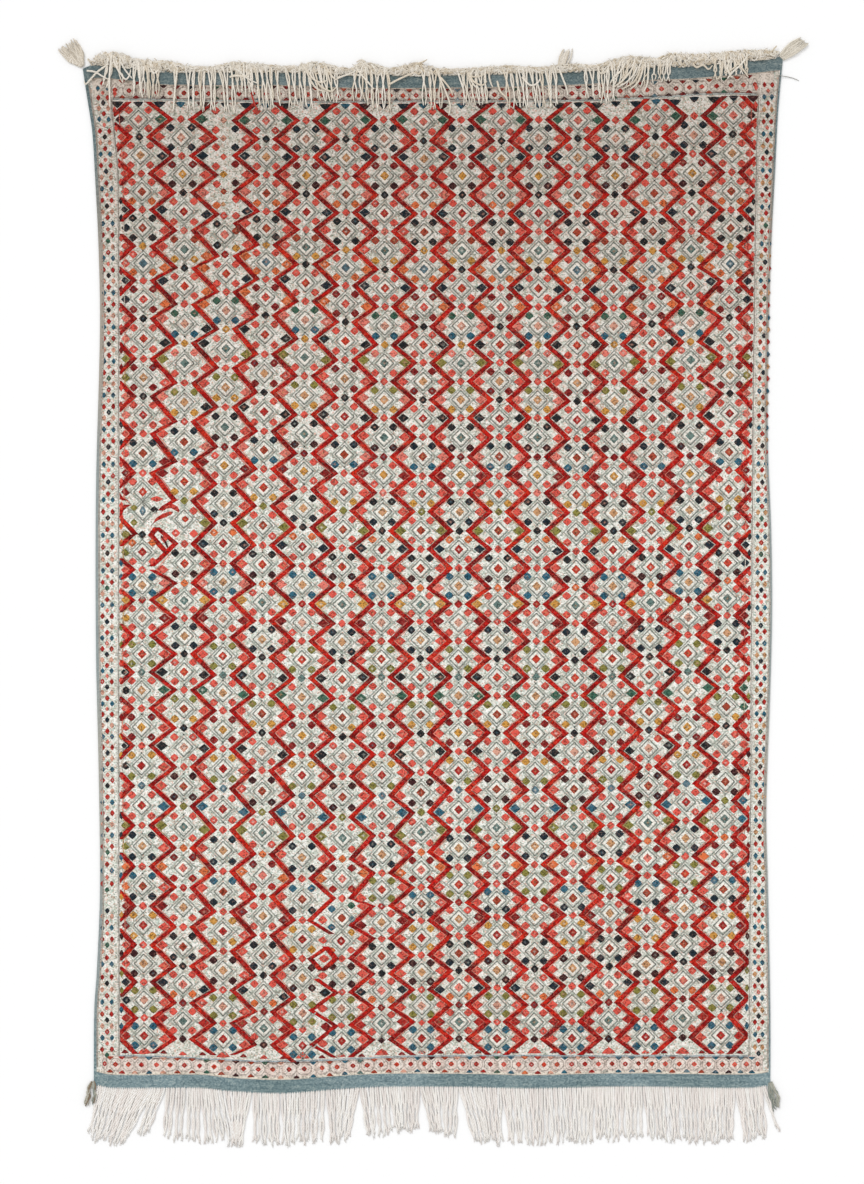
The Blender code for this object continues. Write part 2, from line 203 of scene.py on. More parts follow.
def painted_shade_towards_head(tree, colour):
    """A colour made a little darker towards the head, and a touch darker at the very foot: painted shade
    where the wool lies in less light.
    """
    place = add_node(tree, "TexCoord").outputs["Object"]
    apart = add_node(tree, "SeparateXYZ", {"Vector": place})
    along_rug = add_node(tree, "MapRange", {
        "Value": apart.outputs["Y"], "From Min": -1.25, "From Max": 1.25,
    })
    dim = add_node(tree, "ValToRGB", {"Fac": along_rug.outputs[0]}, [
        (0.0, "f7f5f4"), (0.08, "f7f5f4"), (0.15, "fcf9f8"), (0.25, "ffffff"), (0.56, "ffffff"),
        (0.67, "f9f5f4"), (0.78, "eee8e6"), (0.89, "e0d9d6"), (1.0, "dcd4d1"),
    ])
    both = add_node(tree, "MixRGB", {"Fac": 1.0, "Color1": colour, "Color2": dim.outputs["Color"]},
                    blend_type="MULTIPLY")
    return both.outputs[0]


# Cream wool ground, hand-spun and plain woven: matt, each stitch its own cream, some grey-green and a
# few pinkish where the coloured wefts run behind. The stitches are 1.2 mm, drawn 2.5 mm so that they show.
ground, tree, shader = new_material("hand-spun cream wool, plain woven", 0.92, 0.12)
place = add_node(tree, "TexCoord").outputs["Object"]
value, hue, round_top = stitches(tree, 0.0031, 0.0025)
patch = add_node(tree, "TexNoise", {"Vector": place, "Scale": 95.0, "Detail": 2.0, "Roughness": 0.6})
cream = add_node(tree, "ValToRGB", {"Fac": value}, [
    (0.0, "a4a69b"), (0.2, "cfcfc5"), (0.45, "ebe9e1"), (0.7, "f6f4ed"), (1.0, "fefcf8"),
])
tint = add_node(tree, "ValToRGB", {"Fac": hue}, [
    (0.0, "ecbdae"), (0.22, "ffffff"), (0.74, "ffffff"), (1.0, "bfd8d0"),
])
shade = add_node(tree, "ValToRGB", {"Fac": patch.outputs["Fac"]}, [(0.30, "dfe0d8"), (0.60, "ffffff")])
tinted = add_node(tree, "MixRGB", {"Fac": 0.9, "Color1": cream.outputs[0], "Color2": tint.outputs[0]},
                  blend_type="MULTIPLY")
shaded = add_node(tree, "MixRGB", {"Fac": 1.0, "Color1": tinted.outputs[0], "Color2": shade.outputs[0]},
                  blend_type="MULTIPLY")
# Darker towards the head: painted shade.
tree.links.new(painted_shade_towards_head(tree, shaded.outputs[0]), shader.inputs["Base Color"])
lumps = add_node(tree, "Math", {0: round_top, 1: weave_height(tree, 0.0024, 0.0022)},
                 operation="SUBTRACT")
bump = add_node(tree, "Bump", {"Height": lumps.outputs[0], "Strength": 0.3, "Distance": 0.0005})
tree.links.new(bump.outputs["Normal"], shader.inputs["Normal"])

# Blue-grey wool of the end bands and selvedges, weft-faced: matt, streaked along the weft by the
# uneven dye, and worn to a pale grey down the sides. Its weft rows are 1 mm, drawn 2 mm so that they show.
blue, tree, shader = new_material("weft-faced blue wool, unevenly dyed", 0.9, 0.15)
place = add_node(tree, "TexCoord").outputs["Object"]
stretched = add_node(tree, "Mapping", {"Vector": place, "Scale": (14.0, 190.0, 1.0)})
streak = add_node(tree, "TexNoise", {"Vector": stretched.outputs[0], "Scale": 1.0, "Detail": 3.0})
value, hue, round_top = stitches(tree, 0.0030, 0.0020)
abrash = add_node(tree, "TexNoise", {"Vector": place, "Scale": 5.0, "Detail": 1.0})
mixed = add_node(tree, "MixRGB", {"Fac": 0.45, "Color1": streak.outputs["Fac"], "Color2": value})
dyed = add_node(tree, "ValToRGB", {"Fac": mixed.outputs[0]}, [
    (0.15, "53696f"), (0.38, "71888f"), (0.60, "8a9fa3"), (0.85, "b3c0be"),
])
faded = add_node(tree, "ValToRGB", {"Fac": abrash.outputs["Fac"]}, [(0.35, "e2e6e4"), (0.65, "ffffff")])
base = add_node(tree, "MixRGB", {"Fac": 1.0, "Color1": dyed.outputs[0], "Color2": faded.outputs[0]},
                blend_type="MULTIPLY")
spot = add_node(tree, "SeparateXYZ", {"Vector": place})
along_rug = add_node(tree, "MapRange", {
    "Value": spot.outputs["Y"], "From Min": -1.25, "From Max": 1.25,
})
worn_side = add_node(tree, "ValToRGB", {"Fac": along_rug.outputs[0]}, [
    (0.08, "000000"), (0.15, "c8c8c8"), (0.80, "e4e4e4"), (0.90, "000000"),
])
side_wool = add_node(tree, "ValToRGB", {"Fac": along_rug.outputs[0]}, [
    (0.20, "9da2a0"), (0.27, "b8ae9f"), (0.36, "b8ae9f"), (0.43, "9da2a0"), (0.62, "9da2a0"),
    (0.69, "b8ae9f"),
])
sides = add_node(tree, "MixRGB", {
    "Fac": worn_side.outputs[0], "Color1": base.outputs[0], "Color2": side_wool.outputs[0],
})
# Darker towards the head: painted shade.
tree.links.new(painted_shade_towards_head(tree, sides.outputs[0]), shader.inputs["Base Color"])
lumps = add_node(tree, "Math", {0: streak.outputs["Fac"], 1: round_top}, operation="SUBTRACT")
bump = add_node(tree, "Bump", {"Height": lumps.outputs[0], "Strength": 0.4, "Distance": 0.0005})
tree.links.new(bump.outputs["Normal"], shader.inputs["Normal"])

bm = bmesh.new()
bmesh.ops.create_grid(bm, x_segments=SHEET_COLUMNS, y_segments=SHEET_ROWS, size=0.5)
for middle, normal in (
    ((0, 0.5 - HEAD_BAND, 0), (0, 1, 0)), ((0, FOOT_BAND - 0.5, 0), (0, 1, 0)),
    ((0.5 - RIGHT_SELVEDGE, 0, 0), (1, 0, 0)), ((LEFT_SELVEDGE - 0.5, 0, 0), (1, 0, 0)),
):
    bmesh.ops.bisect_plane(bm, geom=bm.verts[:] + bm.edges[:] + bm.faces[:], plane_co=middle,
                           plane_no=normal)
weave_map = bm.loops.layers.uv.new("weave")
bake_map = bm.loops.layers.uv.new("OFBake")
for face in bm.faces:
    middle = face.calc_center_median()
    in_field = LEFT_SELVEDGE < middle.x + 0.5 < 1 - RIGHT_SELVEDGE and \
        FOOT_BAND < middle.y + 0.5 < 1 - HEAD_BAND
    face.material_index = 0 if in_field else 1
    for loop in face.loops:
        u, v = loop.vert.co.x + 0.5, loop.vert.co.y + 0.5
        loop[weave_map].uv = (u * SHEET_WIDTH, v * SHEET_LENGTH)
        loop[bake_map].uv = (0.02 + u * 0.62, 0.02 + v * 0.93)
for vert in bm.verts:
    spot = cloth_place(vert.co.x + 0.5, vert.co.y + 0.5)
    vert.co = in_frame(spot.x, spot.y)
mesh = bpy.data.meshes.new("woven_sheet")
bm.to_mesh(mesh)
bm.free()
mesh.materials.append(ground)
mesh.materials.append(blue)
sheet = bpy.data.objects.new("woven_sheet", mesh)
bpy.context.scene.collection.objects.link(sheet)
thicken = sheet.modifiers.new("weave thickness", "SOLIDIFY")
thicken.thickness = SHEET_THICKNESS
thicken.offset = -1.0
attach(sheet, "root")
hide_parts("rug_cloth")

# Brocaded lozenges of the field: extra wefts of dyed wool floated over the ground by hand, so each
# stands a little proud. Every weft row has its own yarns, one for each place in the repeat.
YARN = {
    "red": "ad2b25", "scarlet": "c4412d", "coral": "d9574a", "pink": "e07a6c", "orange": "da7040",
    "rust": "a4452f", "maroon": "85201f", "plum": "402123", "navy": "1f2d36", "black": "23272a",
    "teal": "2f6377", "steel": "5b7883", "sage": "67807a", "green": "3c6553", "olive": "85803f",
    "ochre": "cb9344", "tan": "c8976c", "rose": "d29c87", "cream": "ece9df", "grey": "a9aca3",
    "sky": "bfcfcd", "shell": "f1e7de",
}
# Every weft row's yarns: of its centre, the flank above, the flank below, the side and the tip
WEFT_ROWS = {
    -1: "teal plum plum plum teal",
    0: "pink coral coral green coral",
    1: "rose navy navy coral black",
    2: "tan coral coral navy coral",
    3: "ochre maroon plum coral coral",
    4: "rust coral orange pink black",
    5: "red coral coral navy coral",
    6: "rust black black coral pink",
    7: "sage rust ochre coral ochre",
    8: "steel coral orange orange black",
    9: "scarlet coral coral navy coral",
    10: "coral maroon maroon orange coral",
    11: "rose green teal pink black",
    12: "scarlet coral coral black ochre",
    13: "sage pink coral olive coral",
    14: "tan maroon maroon coral coral",
    15: "tan olive ochre pink black",
    16: "red coral coral black coral",
    17: "sage black plum coral coral",
    18: "rust navy teal pink maroon",
    19: "ochre coral coral maroon coral",
    20: "scarlet coral ochre coral pink",
    21: "tan black navy coral olive",
    22: "rust coral coral olive black",
    23: "red orange coral navy coral",
    24: "scarlet black plum coral coral",
    25: "tan teal teal pink orange",
    26: "sage coral coral ochre red",
    27: "rose coral coral maroon coral",
    28: "tan navy navy coral coral",
    29: "scarlet olive olive coral black",
    30: "scarlet coral coral black sage",
    31: "tan coral coral green coral",
    32: "rust olive ochre coral coral",
    33: "ochre maroon maroon coral black",
    34: "rose coral coral black coral",
    35: "red ochre olive coral coral",
    36: "rust plum plum coral steel",
    37: "red coral coral teal olive",
    38: "sage coral coral olive coral",
    39: "tan navy navy coral orange",
    40: "pink maroon red orange coral",
    41: "rust teal navy coral red",
    42: "tan coral coral maroon coral",
    43: "red ochre ochre coral coral",
    44: "rust black navy coral coral",
    45: "tan plum plum coral black",
    46: "pink coral orange navy coral",
    47: "rose olive olive coral maroon",
    48: "sage coral coral red coral",
    49: "red teal teal coral plum",
    50: "coral plum plum red coral",
    99: "scarlet olive olive coral coral",
}
WEFT_ROWS = {row: yarns.split() for row, yarns in WEFT_ROWS.items()}
EXTRA_ROW = 99

COLUMN_LEVELS = (-967, -400, 50, 298, 480, 660, 841, 954, 1067)
COLUMNS = [
    # x at each of those levels, from the foot up
    (-650, -656, -654, -653, -652, -652, -654, -657, -663),
    (-563, -561, -559, -560, -559, -559, -560, -564, -568),
    (-472, -472, -472, -469, -466, -465, -464, -466, -467),
    (-380, -384, -383, -380, -379, -376, -374, -374, -375),
    (-292, -294, -293, -289, -288, -286, -284, -284, -285),
    (-204, -202, -203, -198, -197, -195, -194, -194, -195),
    (-114, -113, -114, -109, -108, -106, -107, -107, -109),
    (-23, -25, -26, -21, -20, -18, -18, -18, -20),
    (61, 60, 60, 65, 65, 67, 68, 68, 66),
    (147, 146, 149, 152, 153, 155, 157, 157, 157),
    (231, 233, 237, 238, 239, 240, 241, 241, 241),
    (316, 321, 325, 327, 328, 327, 328, 329, 330),
    (399, 405, 409, 411, 412, 410, 412, 414, 415),
    (482, 489, 494, 498, 498, 497, 500, 504, 506),
    (566, 575, 580, 583, 584, 584, 586, 588, 592),
    (652, 663, 668, 671, 673, 672, 675, 677, 681),
]
EVEN_TIPS = [1067, 983, 897, 814, 728, 644, 558, 475, 393, 305, 224, 138, 54, -27, -111, -192]
ODD_TIPS = [1106, 1019, 938, 854, 771, 687, 599, 518, 434, 350, 262, 181, 97, 9, -66, -151]
TIPS = {
    # column: runs of (first weft row, y of the tips, every second row)
    0: [(-1, [1107, 1028, 945, 864, 781, 704, 618, 527, 442, 358, 269, 183]),
        (22, [130, 50, -18, -99, -181, -263, -347, -437, -527, -620, -709, -797, -881, -962, -1043])],
    1: [(0, [1068, 985, 902, 816, 732, 650, 562, 472]),
        (17, [385, 294, 206, 109, 20, -59, -140, -221, -307, -395, -484, -578, -668, -757, -845, -928,
              -1010])],
    2: [(8, [759, 678, 594, 506, 418, 328, 244, 156, 64, -18, -102, -188, -268, -354, -444, -537, -631,
             -722, -811, -899, -974, -1046])],
    3: [(-1, [1106, 1023, 942, 859, 784, 707, 625, 537, 451, 363, 278, 194, 106, 18, -65, -148, -232,
              -318, -403, -497, -592, -688, -776, -866, -948, -1023])],
    4: [(0, [1065, 982, 899, 818, 740, 657, 572, 488, 401, 313, 232, 146, 59, -27, -111, -195, -280,
             -368, -460, -552, -647, -741, -828, -915, -988, -1062])],
    5: [(-1, [1105, 1023, 939, 857, 773, 692, 610, 524, 439, 353, 268, 184, 99, 15, -71, -155, -240,
              -327, -416, -509, -603, -692, -753, -828, -904, -978, -1051])],
    6: [(0, EVEN_TIPS + [-281, -367, -460, -550, -635, -709, -783, -862, -938, -1011])],
    7: [(-1, ODD_TIPS + [-234, -320, -408, -498, -588, -667, -742, -820, -898, -971, -1046])],
    8: [(0, EVEN_TIPS + [-275, -360, -447, -537, -621, -701, -777, -855, -932, -1009])],
    9: [(-1, ODD_TIPS + [-235, -318, -402, -489, -576, -659, -734, -815, -894, -971, -1046])],
    10: [(0, EVEN_TIPS + [-278, -363, -447, -532, -616, -695, -772, -852, -933, -1010])],
    11: [(-1, [1107, 1024, 939, 854, 771, 683, 600, 514, 431, 346, 260, 179, 92, 10, -71, -154, -234,
               -319, -403, -488, -573, -653, -730, -809, -890, -970, -1046])],
    12: [(0, [1066, 983, 898, 812, 727, 642, 559, 475, 388, 304, 219, 138, 52, -27, -110, -191, -273,
              -359, -443, -527, -608, -687, -764, -846, -927, -1009])],
    13: [(-1, [1114, 1029, 944, 858, 771, 687, 605, 520, 435, 349, 264, 181, 97, 16, -63, -146, -228,
               -312, -395, -480, -562, -640, -719, -801, -881, -965, -1045])],
    14: [(0, [1075, 990, 902, 815, 734, 651, 565, 483, 398, 308, 227, 144, 62, -17, -97, -180, -264,
              -347, -433, -516, -597, -675, -754, -835, -919, -1006])],
    15: [(-1, [1120, 1034, 948, 863, 780, 702, 619, 531, 449, 358, 275, 190, 107, 25, -53, -131, -216,
               -302, -386, -471, -554, -632, -711, -796, -875, -959, -1044])],
}
SEAM_LEFT = [(-1, 1106), (1, 1024), (3, 942), (5, 852), (7, 762)]
SEAM_RIGHT = [(0, 1065), (2, 985), (4, 904), (6, 833)]
FIRST_LATE_COLUMN = 5
LAST_SHARED_ROW = 40

FIELD_HEAD = [
    # x, y
    (-721, 1111), (-570, 1110), (-298, 1106), (-27, 1107), (334, 1109), (425, 1112), (508, 1116),
    (599, 1122), (685, 1124), (734, 1122),
]
FIELD_FOOT = [
    # x, y
    (-707, -1045), (-603, -1048), (-524, -1052), (-382, -1058), (-231, -1055), (-197, -1053),
    (-106, -1049), (-27, -1046), (714, -1046),
]
FIELD_LEFT = [
    # y, x
    (-1046, -705), (-244, -706), (660, -706), (918, -707), (999, -712), (1078, -720), (1112, -721),
]
FIELD_RIGHT = [
    # y, x
    (-1046, 714), (-583, 718), (-199, 719), (208, 722), (705, 727), (909, 730), (1044, 733), (1121, 736),
]


def column_x(column, y):
    """The middle of one column of the pattern at y; one past either side is a spacing further out."""
    if column < 0:
        return 2 * column_x(0, y) - column_x(1, y)
    if column >= len(COLUMNS):
        return 2 * column_x(len(COLUMNS) - 1, y) - column_x(len(COLUMNS) - 2, y)
    return along(list(zip(COLUMN_LEVELS, COLUMNS[column])), y)


def spacing(column, y):
    """How far a column stands from the next one."""
    return column_x(column + 1, y) - column_x(column, y)


def weft_row(column, row):
    """The yarn row of a pattern row: from the late columns on, one row is put in below row 40."""
    if column < FIRST_LATE_COLUMN or row <= LAST_SHARED_ROW:
        return row
    return EXTRA_ROW if row == LAST_SHARED_ROW + 1 else row - 1


def column_tips(column):
    """Each tip of a column from the head down, as (weft row, y)."""
    found = []
    for first, places in TIPS[column]:
        found += [(weft_row(column, first + 2 * index), y) for index, y in enumerate(places)]
    return found


def row_between(upper, lower):
    """The weft row that lies between two tips of one column."""
    if EXTRA_ROW in (upper, lower):
        return LAST_SHARED_ROW if lower == EXTRA_ROW else LAST_SHARED_ROW + 1
    if upper <= LAST_SHARED_ROW < lower and lower - upper == 1:
        return EXTRA_ROW
    return min(upper + 1, lower)


dice = random.Random(11)
noise.seed_set(11)
lozenges = []


def mark(marks, x, y, half, yarn, eye=0.5, keep="all"):
    """Note one lozenge; eye is how often it has a light dot, keep which half or shape of it there is."""
    dot = None
    if dice.random() < eye:
        dark = yarn in ("navy", "black", "plum", "teal", "maroon")
        dot = dice.choice(("steel", "grey", "rose") if dark else ("cream", "rose", "tan"))
    marks.append((x, y, half[0], half[1], yarn, dot, keep, dice.uniform(0.92, 1.08)))


CENTRE_HALF = (11.2, 11.6)
TIP_HALF = (10.0, 10.0)
FLANK_HALF = (10.8, 10.0)
SIDE_HALF = (15.2, 11.8)
SEAM_HALF = (8.4, 8.4)
CUT_FLANK_HALF = (5.5, 9.5)
FLANK_ACROSS, FLANK_DOWN = 0.238, 0.53
SIDE_INWARD = 0.47
HIGHEST_TIP, LOWEST_TIP = 1090, -1040
centres = []

# (column, y of the tip above) where the weaver lost count and the lozenge below the tip is another
LOST = {(0, 183): (), (1, 206): (1,), (5, -692): (), (5, -753): ()}
LOST_TIPS = ((0, 183), (5, -753), (2, 759))

for column in range(len(COLUMNS)):
    tips = column_tips(column)
    for row, y in tips:
        if LOWEST_TIP < y < HIGHEST_TIP and (column, y) not in LOST_TIPS:
            mark(lozenges, column_x(column, y), y, TIP_HALF, WEFT_ROWS[row][4], 0.55)
    pairs = [(pair, (-1, 1)) for pair in zip(tips, tips[1:])]
    if column == 2:
        pairs += [(pair, (-1,)) for pair in zip(SEAM_LEFT, SEAM_LEFT[1:])]
        pairs += [(pair, (1,)) for pair in zip(SEAM_RIGHT, SEAM_RIGHT[1:] + [(8, 759)])]
    for ((upper, top), (lower, bottom)), sides in pairs:
        row = row_between(upper, lower)
        y = (top + bottom) / 2
        x, wide = column_x(column, y), spacing(column, y)
        centre, above, below = WEFT_ROWS[row][:3]
        if len(sides) == 2 and (column, top) not in LOST:
            mark(lozenges, x, y, CENTRE_HALF, centre, 0.75, "pointed")
            centres.append((x, y))
        sides = LOST.get((column, top), sides)
        for yarn, reach in ((above, FLANK_DOWN * (top - y)), (below, FLANK_DOWN * (bottom - y))):
            if (column, bottom) == (0, 183) and reach < 0:
                continue
            for side in sides:
                mark(lozenges, x + side * FLANK_ACROSS * wide, y + reach, FLANK_HALF, yarn, 0.3)

# Flanks of the columns past either side, cut by the field's edge
for column, field, inward in ((0, FIELD_LEFT, 1), (len(COLUMNS) - 1, FIELD_RIGHT, -1)):
    tips = column_tips(column)
    for (upper, top), (lower, bottom) in zip(tips, tips[1:]):
        row = row_between(upper, lower)
        for way in (-0.5, 0.5):
            y = top + way * 0.47 * (top - bottom)
            mark(lozenges, along(field, y) + inward * 4, y, CUT_FLANK_HALF, WEFT_ROWS[row][1], 0.1)


def lozenge_pad():
    """One lozenge, a low pad with eight sides: 1 from middle to point, foot at 0, a poked-up eye at 1."""
    pad = bmesh.new()
    bmesh.ops.create_circle(pad, cap_ends=True, segments=8, radius=1.0)
    for vert in pad.verts:
        if min(abs(vert.co.x), abs(vert.co.y)) > 0.1:
            vert.co *= 0.80
    top = bmesh.ops.extrude_face_region(pad, geom=pad.faces[:])["geom"]
    top_verts = [item for item in top if isinstance(item, bmesh.types.BMVert)]
    top_face = [item for item in top if isinstance(item, bmesh.types.BMFace)]
    bmesh.ops.scale(pad, vec=(0.84, 0.84, 1.0), verts=top_verts)
    bmesh.ops.translate(pad, vec=(0, 0, 0.9), verts=top_verts)
    bmesh.ops.inset_individual(pad, faces=top_face, thickness=0.36, depth=0.1)
    bmesh.ops.poke(pad, faces=top_face)
    bmesh.ops.recalc_face_normals(pad, faces=pad.faces[:])
    made = bpy.data.meshes.new("lozenge template")
    pad.to_mesh(made)
    pad.free()
    return made


PAD = lozenge_pad()


def copies(template, count):
    """A bmesh of so many copies of a template, and the number of points in each."""
    many = bmesh.new()
    for _ in range(count):
        many.from_mesh(template)
    return many, len(template.vertices)


def uneven(x, y):
    """How far the hand of the weaver moves a place, in mm."""
    drift = noise.noise_vector((x / 31, y / 27, 0.4))
    twitch = noise.noise_vector((x / 7, y / 6, 3.1))
    return drift.x * 1.1 + twitch.x * 0.5, drift.y * 0.9 + twitch.y * 0.5


def finish_piece(name, many, material):
    """Turn a bmesh into a finished piece on the rug, with a map of its plan."""
    made = bpy.data.meshes.new(name)
    many.to_mesh(made)
    many.free()
    made.materials.append(material)
    lows = [min(vert.co[axis] for vert in made.vertices) for axis in (0, 1)]
    spans = [max(vert.co[axis] for vert in made.vertices) - lows[axis] for axis in (0, 1)]
    bake = made.uv_layers.new(name="OFBake")
    for loop in made.loops:
        spot = made.vertices[loop.vertex_index].co
        bake.data[loop.index].uv = [0.01 + 0.98 * (spot[axis] - lows[axis]) / spans[axis] for axis in (0, 1)]
    made.shade_smooth()
    thing = bpy.data.objects.new(name, made)
    bpy.context.scene.collection.objects.link(thing)
    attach(thing, "root")
    return thing


def tinted_yarn(code, factor):
    """A yarn colour made a little lighter or darker."""
    colour = linear(code)
    return [min(part * factor, 1.0) for part in colour[:3]] + [1.0]


# Lozenge points below this level are painted darker and the ones above it a little lighter: painted shade on
# the pad's sides, a painted highlight on its top.
PAINTED_SHADE_LEVEL = 0.5
EYE_SHARE = 0.7


def pad_piece(name, marks, material, height, sunk):
    """One piece of these lozenges in their yarns, so many mm high and sunk so deep in the cloth's face."""
    many, size = copies(PAD, len(marks))
    dye = many.verts.layers.float_color.new("yarn")
    for index, vert in enumerate(many.verts):
        x, y, half_x, half_y, yarn, dot, keep, light = marks[index // size]
        off_x, off_y = vert.co.x * half_x, vert.co.y * half_y
        if keep == "pointed" and min(abs(vert.co.x), abs(vert.co.y)) > 0.1:
            off_x, off_y = off_x * 0.9, off_y * 0.9
        if (keep == "top" and off_y < 0) or (keep == "bottom" and off_y > 0):
            off_y *= 0.1
        move_x, move_y = uneven(x + off_x, y + off_y)
        if dot and math.hypot(vert.co.x, vert.co.y) < 0.1:
            eye, around = tinted_yarn(YARN[dot], light), tinted_yarn(YARN[yarn], light)
            vert[dye] = [one * EYE_SHARE + other * (1 - EYE_SHARE) for one, other in zip(eye, around)]
        else:
            # Foot ring darker, top lighter: painted shade and painted highlight.
            vert[dye] = tinted_yarn(YARN[yarn], light * (0.8 if vert.co.z < PAINTED_SHADE_LEVEL else 1.04))
        vert.co = in_frame(x + off_x + move_x, y + off_y + move_y, vert.co.z * height - sunk)
    return finish_piece(name, many, material)


# Dyed wool yarn of the brocade: soft and matt, with a slight sheen, its colour varying from pass to pass,
# and its stitches darkened at random as painted shade between the floats. Each pass is 1.2 mm, drawn 2.5 mm
# so that it shows, and lies along the weft.
def brocaded_wool(name, stitch_shade_stops, worn_from):
    """Brocaded yarn: the given ramp stops darken each stitch by a random amount, as painted shade between
    the floats and uneven dye; worn_from says how few stitches are rubbed pale.
    """
    material, tree, shader = new_material(name, 0.9, 0.06)
    place = add_node(tree, "TexCoord").outputs["Object"]
    dyed = add_node(tree, "Attribute", attribute_name="yarn").outputs["Color"]
    value, hue, round_top = stitches(tree, 0.0029, 0.0025)
    # Painted shade: each stitch darkened by its random value, as if it lay in shadow between the floats.
    depth = add_node(tree, "ValToRGB", {"Fac": value}, stitch_shade_stops)
    worn = add_node(tree, "ValToRGB", {"Fac": hue}, [(worn_from, "000000"), (1.0, "6a6a6a")])
    deep = add_node(tree, "MixRGB", {"Fac": 0.8, "Color1": dyed, "Color2": depth.outputs[0]},
                    blend_type="MULTIPLY")
    rubbed = add_node(tree, "MixRGB", {
        "Fac": worn.outputs[0], "Color1": deep.outputs[0], "Color2": linear("e6b49f"),
    })
    # Darker towards the head: painted shade.
    tree.links.new(painted_shade_towards_head(tree, rubbed.outputs[0]), shader.inputs["Base Color"])
    rows = add_node(tree, "TexWave", {"Vector": place, "Scale": 72.0, "Distortion": 1.5},
                    bands_direction="Y")
    lumps = add_node(tree, "Math", {0: rows.outputs["Fac"], 1: round_top}, operation="SUBTRACT")
    bump = add_node(tree, "Bump", {"Height": lumps.outputs[0], "Strength": 0.45, "Distance": 0.0006})
    tree.links.new(bump.outputs["Normal"], shader.inputs["Normal"])
    return material


# The first stops of each ramp darken the stitches: painted shade between the floats.
brocade = brocaded_wool("dyed wool yarn, brocaded", [
    (0.0, "585858"), (0.3, "bcbcbc"), (0.55, "ffffff"), (1.0, "ffffff"),
], 0.66)
pale_brocade = brocaded_wool("pale wool yarn, brocaded", [
    (0.0, "9c9c9a"), (0.3, "dcdcda"), (0.55, "ffffff"), (1.0, "ffffff"),
], 0.92)

# The zigzags: bands of red extra weft that climb between the columns, one turn to each tip. Each is a
# strip of short steps, 15 mm wide along the weft, that stands proud of the ground, with a thin paler
# line of brocade inside each turn.
BAND_ACROSS = 7.4
BAND_HEIGHT = 0.9
VERTEX_INWARD = 0.225
OUTER_INSET = 0.30
STEPS_IN_LEG = 6
REDS = ("bb150f", "980e0b", "cf2b15", "7f0c0b", "c31810", "aa120d")
INNER_LINE = {
    "coral": "e9a08c", "pink": "e9a08c", "orange": "e8a583", "navy": "ddd8cb", "black": "d8d3c6",
    "olive": "d2b284", "ochre": "d9b98a", "green": "cfd2bb", "teal": "cdd3cd", "maroon": "dd8171",
    "red": "dd8171", "plum": "dd8171",
}


def edge_tips(column, side):
    """The tips that the zigzag on one side of a column turns at, as (weft row, y)."""
    if column == -1:
        tips = column_tips(0)
    elif column == len(COLUMNS):
        tips = column_tips(len(COLUMNS) - 1)
    elif column == 2:
        return (SEAM_LEFT[:4] if side < 0 else SEAM_RIGHT) + column_tips(2)
    elif column == 5 and side < 0:
        return [tip for tip in column_tips(5) if tip[1] != -753]
    else:
        return column_tips(column)
    return [(upper[0], (upper[1] + lower[1]) / 2) for upper, lower in zip(tips, tips[1:])]


def zigzag_turns(left):
    """The turns of the zigzag between a column and the next: (x, y, way in, weft row) going down."""
    turns = []
    for row, y in edge_tips(left, 1):
        inset = OUTER_INSET if left < 0 else VERTEX_INWARD
        turns.append((column_x(left, y) + inset * spacing(left, y), y, 1, row))
    for row, y in edge_tips(left + 1, -1):
        inset = OUTER_INSET if left == len(COLUMNS) - 1 else VERTEX_INWARD
        turns.append((column_x(left + 1, y) - inset * spacing(left, y), y, -1, row))
    return sorted(turns, key=lambda turn: -turn[1])


def within_field(x, y, half):
    """The nearest place to x in the field that keeps so far from the field's sides."""
    return min(max(x, along(FIELD_LEFT, y) + half), along(FIELD_RIGHT, y) - half)


def strip_piece(name, runs, material, height, thickness, lanes=3):
    """One piece of strips; a run is its steps (x, y, half x, half y, colour) from end to end."""
    many = bmesh.new()
    dye = many.verts.layers.float_color.new("yarn")
    for steps in runs:
        last = len(steps) - 1
        for vert in bmesh.ops.create_grid(many, x_segments=last, y_segments=lanes, size=0.5)["verts"]:
            x, y, half_x, half_y, colour = steps[round((vert.co.x + 0.5) * last)]
            across = vert.co.y * 2
            move_x, move_y = uneven(x, y)
            level = height if abs(across) < 0.5 or lanes == 1 else height * 0.35
            vert[dye] = colour
            vert.co = in_frame(x + move_x + across * half_x, y + move_y + across * half_y, level)
    thing = finish_piece(name, many, material)
    thicken = thing.modifiers.new("yarn thickness", "SOLIDIFY")
    thicken.thickness = thickness * MM
    thicken.offset = -1.0
    return thing


def zigzag_runs(turns, steps=STEPS_IN_LEG, reds=REDS, half=BAND_ACROSS):
    """One zigzag through its turns as runs of steps in the reds, cut off at the field's sides."""
    places = []
    for (x, y, *_), (next_x, next_y, *_) in zip(turns, turns[1:]):
        for step in range(steps):
            t = step / steps
            places.append((x + (next_x - x) * t, y + (next_y - y) * t))
    places.append(turns[-1][:2])
    runs = [[]]
    for x, y in places:
        red = tinted_yarn(dice.choice(reds), dice.uniform(0.9, 1.1))
        low = within_field(x - half, y, 0.5)
        high = within_field(x + half, y, 0.5)
        if high - low > 1:
            runs[-1].append(((low + high) / 2, y, (high - low) / 2, 0.0, red))
        elif runs[-1]:
            runs.append([])
    return [run for run in runs if len(run) > 1]


